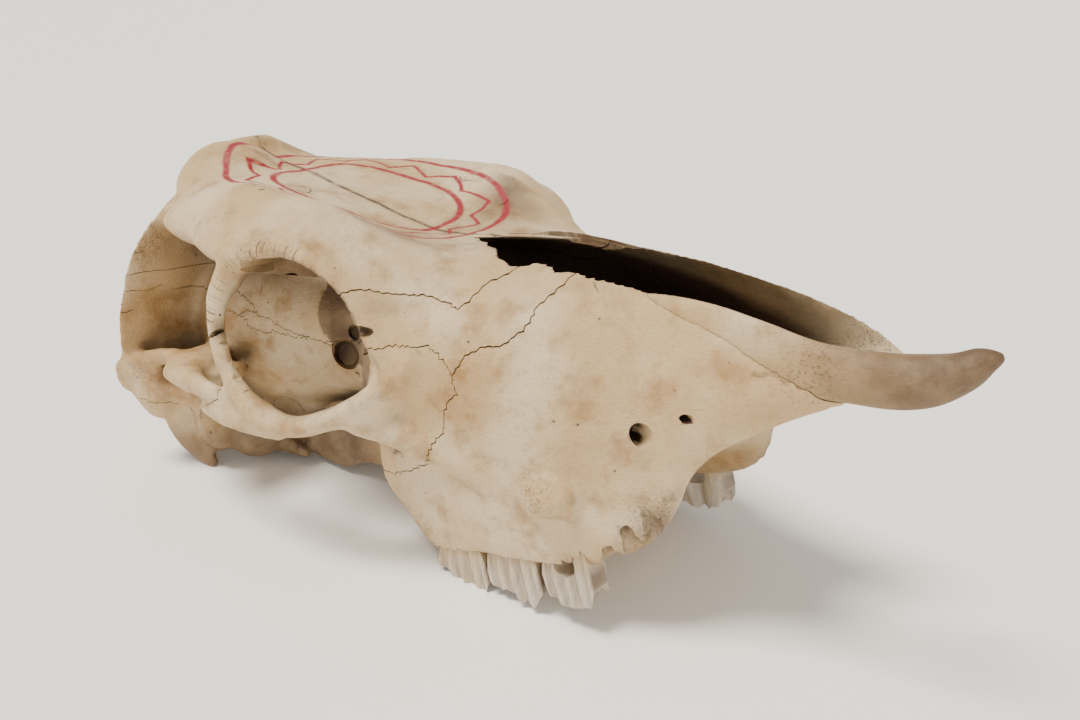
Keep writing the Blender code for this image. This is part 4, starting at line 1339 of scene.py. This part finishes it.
@dataclass(frozen=True)
class WeatheredAndShadedBone:
    """Dry bone that has lain outdoors: chalky cream and stained tan by earth, with shade painted dark into
    its hollows, eye sockets, nose and underside.
    """

    name: str = "weathered_bone"
    cream: str = "b79a6e"
    chalk: str = "c9b592"
    tan: str = "8f6a36"
    rust: str = "7d5220"
    soil_and_shade: str = "3e2814"
    loam_and_shade: str = "4f3820"
    deepest_nose_shade: str = "241204"
    crack: str = "2b1c10"
    roughness: float = 0.62
    ior: float = 1.5
    patch_size: float = 46.0
    blotch_size: float = 15.0
    grain_size: float = 1.6
    fibre_size: float = 0.9
    pore_size: float = 1.2
    crack_size: float = 26.0
    dot_spacing: float = 9.0
    band: bool = False

    def ground(self, finish: Finish, fine: Socket) -> Socket:
        """The bone's colour under its pores and cracks, coat over coat, with the painted shade among the
        coats.

        Args:
            finish: The material in the making.
            fine: The finest grain of the bone.

        Returns:
            The socket of the colour.
        """
        ramp, times = finish.ramp, finish.times
        blotches = finish.noise(self.blotch_size, 6, 0.62)
        stain, nose = finish.attribute("stain"), finish.attribute("nose")
        colour = linear(self.cream)
        for cover, code in (
            (ramp(finish.noise(self.patch_size, 3, 0.55), 0.42, 0.62), self.chalk),
            (ramp(blotches, 0.5, 0.7, 0.7), self.tan),
            (times(stain, ramp(blotches, 0.3, 0.62)), self.tan),
            (times(stain, ramp(blotches, 0.52, 0.78, 0.6)), self.rust),
            (ramp(fine, 0.52, 0.74, 0.35), self.tan),
            # Painted shade: enclosed hollows darkened.
            (ramp(finish.attribute("shade"), 0.16, 0.7, 0.92), self.soil_and_shade),
            # Painted shade of the hollows and underside, and the premaxilla's real darker tip.
            (times(finish.attribute("brown"), ramp(blotches, 0.3, 0.55, 1.0, 0.75)), self.loam_and_shade),
            (times(finish.attribute("midline"), ramp(blotches, 0.3, 0.5)), self.soil_and_shade),
            # Painted shade inside the nasal chamber, darkest below its brim and towards the back.
            (ramp(nose, 0.0, 0.55), self.soil_and_shade),
            (ramp(nose, 0.35, 1.0), self.deepest_nose_shade),
        ):
            colour = finish.over(colour, cover, code)
        return colour

    def wounds(self, finish: Finish) -> Socket:
        """Bent hairline cracks, pinholes, and the short cracks that fringe the eye sockets, from 0 to 1."""
        ramp, times = finish.ramp, finish.times
        bend = finish.noise(self.crack_size * 0.35, 4, output="Color")
        bend = finish.vectors("SUBTRACT", bend, (0.5, 0.5, 0.5))
        bend = finish.node("VectorMath", {0: bend, "Scale": self.crack_size * 0.4 * MM}, operation="SCALE")
        bent = finish.vectors("ADD", finish.turned, bend)
        lines = finish.cells(self.crack_size, bent, feature="DISTANCE_TO_EDGE")
        crack = times(finish.fall(lines, 0.0, 0.014), ramp(finish.noise(30, 2, 0.55), 0.66, 0.7))
        chosen = finish.node("SeparateColor", {0: finish.cells(self.dot_spacing, output="Color")})
        pinhole = times(finish.fall(finish.cells(self.dot_spacing), 0.03, 0.07), ramp(chosen, 0.72, 0.76))
        around = finish.node("TexNoise", {
            "W": times(finish.attribute("rim_turn"), 26.0), "Scale": 1.0, "Detail": 3.0, "Roughness": 0.7,
        }, "Fac", noise_dimensions="1D")
        fringe = times(ramp(around, 0.6, 0.64), finish.attribute("rim"))
        fringe = times(fringe, ramp(finish.noise(6, 2, 0.55), 0.36, 0.5))
        return finish.maths("MAXIMUM", finish.maths("MAXIMUM", crack, ramp(fringe, 0.35, 0.6)), pinhole)

    def material(self) -> bpy.types.Material:
        """The finish as a node material."""
        finish = Finish(self.name)
        times = finish.times
        fine = finish.noise(self.grain_size, 3, 0.7)
        wounds = self.wounds(finish)
        pits = times(finish.fall(finish.cells(self.pore_size), 0.05, 0.36), finish.attribute("porous"))
        colour = finish.over(self.ground(finish, fine), times(pits, 0.35), self.soil_and_shade)
        colour = finish.over(colour, times(wounds, 0.85), self.crack)
        if self.band:
            colour = PAINT.over(finish, colour)
        along = finish.node("Mapping", {"Vector": finish.turned, "Scale": (0.22, 1.0, 1.0)})
        fibres = finish.noise(self.fibre_size, 3, place=along)
        relief = finish.maths("ADD", times(fine, 0.5), times(fibres, 0.55))
        height = finish.maths("SUBTRACT", relief, times(finish.maths("ADD", pits, wounds), 1.6))
        return finish.surface({
            "Base Color": colour, "Normal": finish.bump(height, 0.85, 0.6), "Roughness": self.roughness,
            "IOR": self.ior, "Subsurface Weight": 0.06, "Subsurface Radius": (1.0, 0.6, 0.35),
            "Subsurface Scale": 2.0 * MM,
        })


@dataclass(frozen=True)
class ToothEnamel:
    """Dull enamel over dentine: greyish white ridges, cream towards the root, umber in the folds."""

    name: str = "tooth_enamel"
    white: str = "bcb1a0"
    grey: str = "8b7e6e"
    root: str = "b0956a"
    fold: str = "5d4630"
    roughness: float = 0.42
    ior: float = 1.6
    streak: float = 1.3

    def material(self) -> bpy.types.Material:
        """The finish as a node material, streaked along the tooth."""
        finish = Finish(self.name)
        along = {"Vector": finish.place, "Rotation": (0, REST.pitch, 0), "Scale": (1.0, 1.0, 0.14)}
        streaks = finish.noise(self.streak, 4, place=finish.node("Mapping", along))
        broad = finish.noise(9, 3, place=finish.place)
        near_bone, folds = finish.attribute("root"), finish.attribute("fold")
        colour = linear(self.white)
        for source, low, high, top, code in (
            (streaks, 0.45, 0.68, 0.6, self.grey), (broad, 0.5, 0.7, 0.45, self.root),
            (near_bone, 0.2, 0.9, 0.8, self.root), (folds, 0.15, 0.9, 0.85, self.fold),
        ):
            colour = finish.over(colour, finish.ramp(source, low, high, top), code)
        return finish.surface({
            "Base Color": colour, "Normal": finish.bump(streaks, 0.35, 0.3), "Roughness": self.roughness,
            "IOR": self.ior,
        })

    @staticmethod
    def mark(obj: Object, tooth: CheekTooth) -> None:
        """Write how near the root and how deep in a fold each vertex of a tooth is."""
        places, _ = vertex_arrays(obj)
        x, y, z = places.T
        share = (x - tooth.start) / (tooth.end - tooth.start)
        surface = np.array([tooth.cheek_side(s) if 0 <= s <= 1 else tooth.buccal for s in share])
        lift = surface - tooth.buccal
        fold = np.clip(0.5 - lift, 0, 1) * np.clip((np.abs(y) - tooth.buccal + 2.5) / 2, 0, 1) * 0.5
        ends = np.clip(1 - np.minimum(share, 1 - share) / 0.05, 0, 1)
        write_layers(obj, {"root": np.clip((z - 1) / 12, 0, 1), "fold": np.maximum(fold, ends)})


@dataclass
class Skull:
    """The whole skull: its skin is shaped in one, parted at the sutures and dressed bone by bone."""

    voxel: float = 1.35
    coarse: float = 1.8
    midline_gap: float = 0.3
    floor_span: float = 600.0
    cranium: Cranium = field(default_factory=Cranium)
    face: Face = field(default_factory=Face)
    nose: NasalChamber = field(default_factory=NasalChamber)
    lost_teeth: LostTeeth = field(default_factory=LostTeeth)
    premaxilla: Premaxilla = field(default_factory=Premaxilla)

    def soften(self, obj: Object, strength: int) -> None:
        """Rebuild and smooth the skin as much as strength passes on a grid of coarse millimetres would."""
        soften(obj, self.voxel, round(strength * (self.coarse / self.voxel) ** 2))

    def uneven(self, skin: Object) -> None:
        """Give the skin the slight waves and the pitted patches of real bone."""
        places, normals = vertex_arrays(skin)
        rough, lump = strength(places, PITTED), TUBERCLE_LUMP.at(places)
        for vertex, place, normal, patch, rise in zip(skin.data.vertices, places, normals, rough, lump):
            point = Vector(place)
            waves = noise.noise(point / 17) * 0.45 + noise.noise(point / 6) * 0.22
            wave = waves + noise.noise(point / 3.2) * 0.1 - 0.5
            pit = noise.noise(point / 2.6) * patch * 0.9 if patch > 0.05 else 0.0
            vertex.co += Vector(normal) * (wave + pit + rise) * MM

    def skin(self) -> Object:
        """The skull as one closed skin with all its hollows."""
        body = joined("skull", [*self.cranium.heavy(), *self.face.heavy(), *EYES.heavy()])
        self.soften(body, 9)
        skull = joined("skull", [body, *self.cranium.slender(), *self.face.slender(), *EYES.slender()])
        self.soften(skull, 2)
        cut(skull, merged("hollows", [*EYES.bowls(), *self.nose.hollow()]))
        cut(skull, merged("ridges", EYES.ridges()), "UNION")
        self.soften(skull, 1)
        self.uneven(skull)
        holes = (*EYES.small_cuts(), *self.face.holes(), *self.lost_teeth.cutters(), self.cranium.hole())
        cut(skull, merged("holes", [*self.nose.window(), *holes]))
        cut(skull, merged("fragile", [*self.nose.fragile(), *self.lost_teeth.fragile()]), "UNION")
        keep_large(skull, 3000)
        return skull

    def halves(self, frontals: Object) -> dict[str, Object]:
        """The two frontal bones, parted along their wavy midline suture."""
        line = ((-60, 0), (20, 0), (60, 0.6), (100, -0.8), (140, 0.7), (180, -0.5), (215, 0), (260, 0))
        wave = jagged(line, 23, 0.7, 3)
        found = {}
        for side in (Side.RIGHT, Side.LEFT):
            shift = side.value * self.midline_gap / 2
            edge = [(x, y + shift) for x, y in wave]
            outline = [*edge, (260, side.value * 150), (-60, side.value * 150)]
            name = f"frontal_{side.name.lower()}"
            found[name] = linked(name, frontals.data.copy())
            cut(found[name], prism("half", outline, 60, 260, "Z"), "INTERSECT")
        bpy.data.objects.remove(frontals)
        return found

    def bones(self, skin: Object) -> dict[str, Object]:
        """The bones by node name, parted at their sutures."""
        found: dict[str, Object] = {}
        for domain in (ZYGOMATIC, LACRIMAL, FRONTAL, TEMPORAL, OCCIPITAL, PALATINE, MAXILLA, SPHENOID):
            for side in domain.sides:
                found[domain.label(side)] = domain.take(skin, side)
        found.update(self.halves(found.pop("frontal")))
        skin.name = "parietal"
        found["parietal"] = skin
        cut(found["maxilla_right"], self.premaxilla.bone(0.35))
        found["premaxilla_right"] = self.premaxilla.bone()
        for tooth in TEETH:
            for side in (Side.RIGHT, Side.LEFT):
                socket = tooth.shape(side, grow=0.35)
                cut(found[f"maxilla_{side.name.lower()}"], socket, keep=True)
                cut(found[f"palatine_{side.name.lower()}"], socket)
        return found

    def place(self, obj: Object) -> None:
        """Put obj where the CAD has it and flatten it where it rests."""
        obj.data.transform(REST.matrix())
        if min(vertex.co.z for vertex in obj.data.vertices) < 0:
            span = self.floor_span
            square = ((-span, -span), (span, -span), (span, span), (-span, span))
            cut(obj, prism("surface", square, -100, 0, "Z"))

    def build(self) -> None:
        """Model and dress every bone and tooth."""
        skin = self.skin()
        LOG.info("skin %d faces", len(skin.data.polygons))
        weathering_and_shade = WeatheringAndShade(skin)
        LOG.info("weathering measured")
        bones = self.bones(skin)
        plain = WeatheredAndShadedBone().material()
        painted = WeatheredAndShadedBone(name="weathered_bone_painted", band=True).material()
        for name, obj in bones.items():
            keep_large(obj, 400)
            weathering_and_shade.mark(obj)
            self.dress(obj, name, painted if name.startswith("frontal") else plain, "bone")
        enamel = ToothEnamel()
        finish = enamel.material()
        for tooth in TEETH:
            for side in (Side.RIGHT, Side.LEFT):
                obj = tooth.finished(side)
                enamel.mark(obj, tooth)
                self.dress(obj, f"{tooth.name}_{side.name.lower()}", finish, "teeth")

    def dress(self, obj: Object, node: str, material: bpy.types.Material, slot: str) -> None:
        """Finish a piece, set it in its place and tie it to its CAD node."""
        self.place(obj)
        obj.name = f"{node}_bone" if slot == "bone" else f"{node}_crown"
        obj.data.materials.clear()
        obj.data.materials.append(material)
        select_only(obj)
        bpy.ops.object.shade_smooth_by_angle(angle=math.radians(38))
        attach(obj, "root")
        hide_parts(node)
        LOG.info("%s %d triangles", obj.name, sum(len(face.vertices) - 2 for face in obj.data.polygons))


@dataclass(frozen=True)
class Studio:
    """Pale floor, soft lights and the camera at the photograph's angle."""

    azimuth: float = math.radians(41.5)
    elevation: float = math.radians(8.6)
    roll: float = math.radians(-13.1)
    aim: Place = (200, 0, 90)
    distance: float = 423.0
    right: float = 10.0
    raised: float = -12.0
    focal_pixels: float = 973.0
    image_width: int = 1080
    floor_colour: str = "f4f2ee"
    floor_size: float = 30.0
    flat_radius: float = 1.4
    sweep: float = 0.03
    floor_drop: float = 0.0002
    floor_parts: int = 120
    sensor: float = 36.0
    sky: float = 0.5

    def camera(self) -> None:
        """The camera, set out in the skull frame and moved to the row frame."""
        a, e = self.azimuth, self.elevation
        back = Vector((math.sin(a) * math.cos(e), -math.cos(a) * math.cos(e), math.sin(e)))
        level = Vector((math.cos(a), math.sin(a), 0))
        above = back.cross(level)
        across = level * math.cos(self.roll) + above * math.sin(self.roll)
        upward = above * math.cos(self.roll) - level * math.sin(self.roll)
        place = (Vector(self.aim) + back * self.distance + across * self.right + upward * self.raised) * MM
        own = Matrix((across, upward, back)).transposed().to_4x4()
        own.translation = place
        data = bpy.data.cameras.new("photo_camera")
        data.sensor_width = self.sensor
        data.lens = self.sensor * self.focal_pixels / self.image_width
        data.clip_start = 0.02
        camera = bpy.data.objects.new("photo_camera", data)
        camera.matrix_world = REST.matrix() @ own
        bpy.context.scene.collection.objects.link(camera)
        bpy.context.scene.camera = camera

    def light(self, name: str, kind: str, place: Place, toward: Vector, **settings: object) -> None:
        """Add a light.

        Args:
            name: The light's name.
            kind: Blender's name of the light's type.
            place: Where it stands, in metres.
            toward: The direction that it shines in.
            settings: The light's own settings.
        """
        data = bpy.data.lights.new(name, kind)
        for key, value in settings.items():
            setattr(data, key, value)
        lamp = bpy.data.objects.new(name, data)
        lamp.location = place
        lamp.rotation_euler = toward.to_track_quat("-Z", "Y").to_euler()
        bpy.context.scene.collection.objects.link(lamp)

    def build(self) -> None:
        """Set up floor, lights and camera."""
        bpy.ops.object.select_all(action="DESELECT")
        parts = self.floor_parts
        bpy.ops.mesh.primitive_grid_add(x_subdivisions=parts, y_subdivisions=parts, size=self.floor_size)
        floor = bpy.context.object
        floor.name = "studio_floor"
        for vertex in floor.data.vertices:
            beyond = max(0.0, vertex.co.xy.length - self.flat_radius)
            vertex.co.z = self.sweep * beyond**2 - self.floor_drop
        bpy.ops.object.shade_smooth()
        material = bpy.data.materials.new("pale_paper")
        material.use_nodes = True
        shader = material.node_tree.nodes["Principled BSDF"]
        shader.inputs["Base Color"].default_value = linear(self.floor_colour)
        shader.inputs["Roughness"].default_value = 0.9
        floor.data.materials.append(material)
        world = bpy.data.worlds.new("studio")
        world.use_nodes = True
        world.node_tree.nodes["Background"].inputs[0].default_value = linear("f3f1ee")
        world.node_tree.nodes["Background"].inputs[1].default_value = self.sky
        bpy.context.scene.world = world
        warm, front = linear("fff8ee")[:3], Vector((0.9, -0.9, 0.8))
        overhead = Vector((0.25, 0.35, -1.0))
        self.light("overhead", "SUN", (0, 0, 0), overhead, energy=4.9, angle=math.radians(22), color=warm)
        self.light("front", "AREA", tuple(front), Vector((0, 0, 0.08)) - front, energy=3, size=0.6)
        self.camera()


def main() -> None:
    """Build the skull and its studio."""
    logging.basicConfig(level=logging.INFO, format="%(name)s %(relativeCreated)6d ms %(message)s")
    noise.seed_set(NOISE_SEED)
    Skull().build()
    Studio().build()


if __name__ == "__main__":
    main()
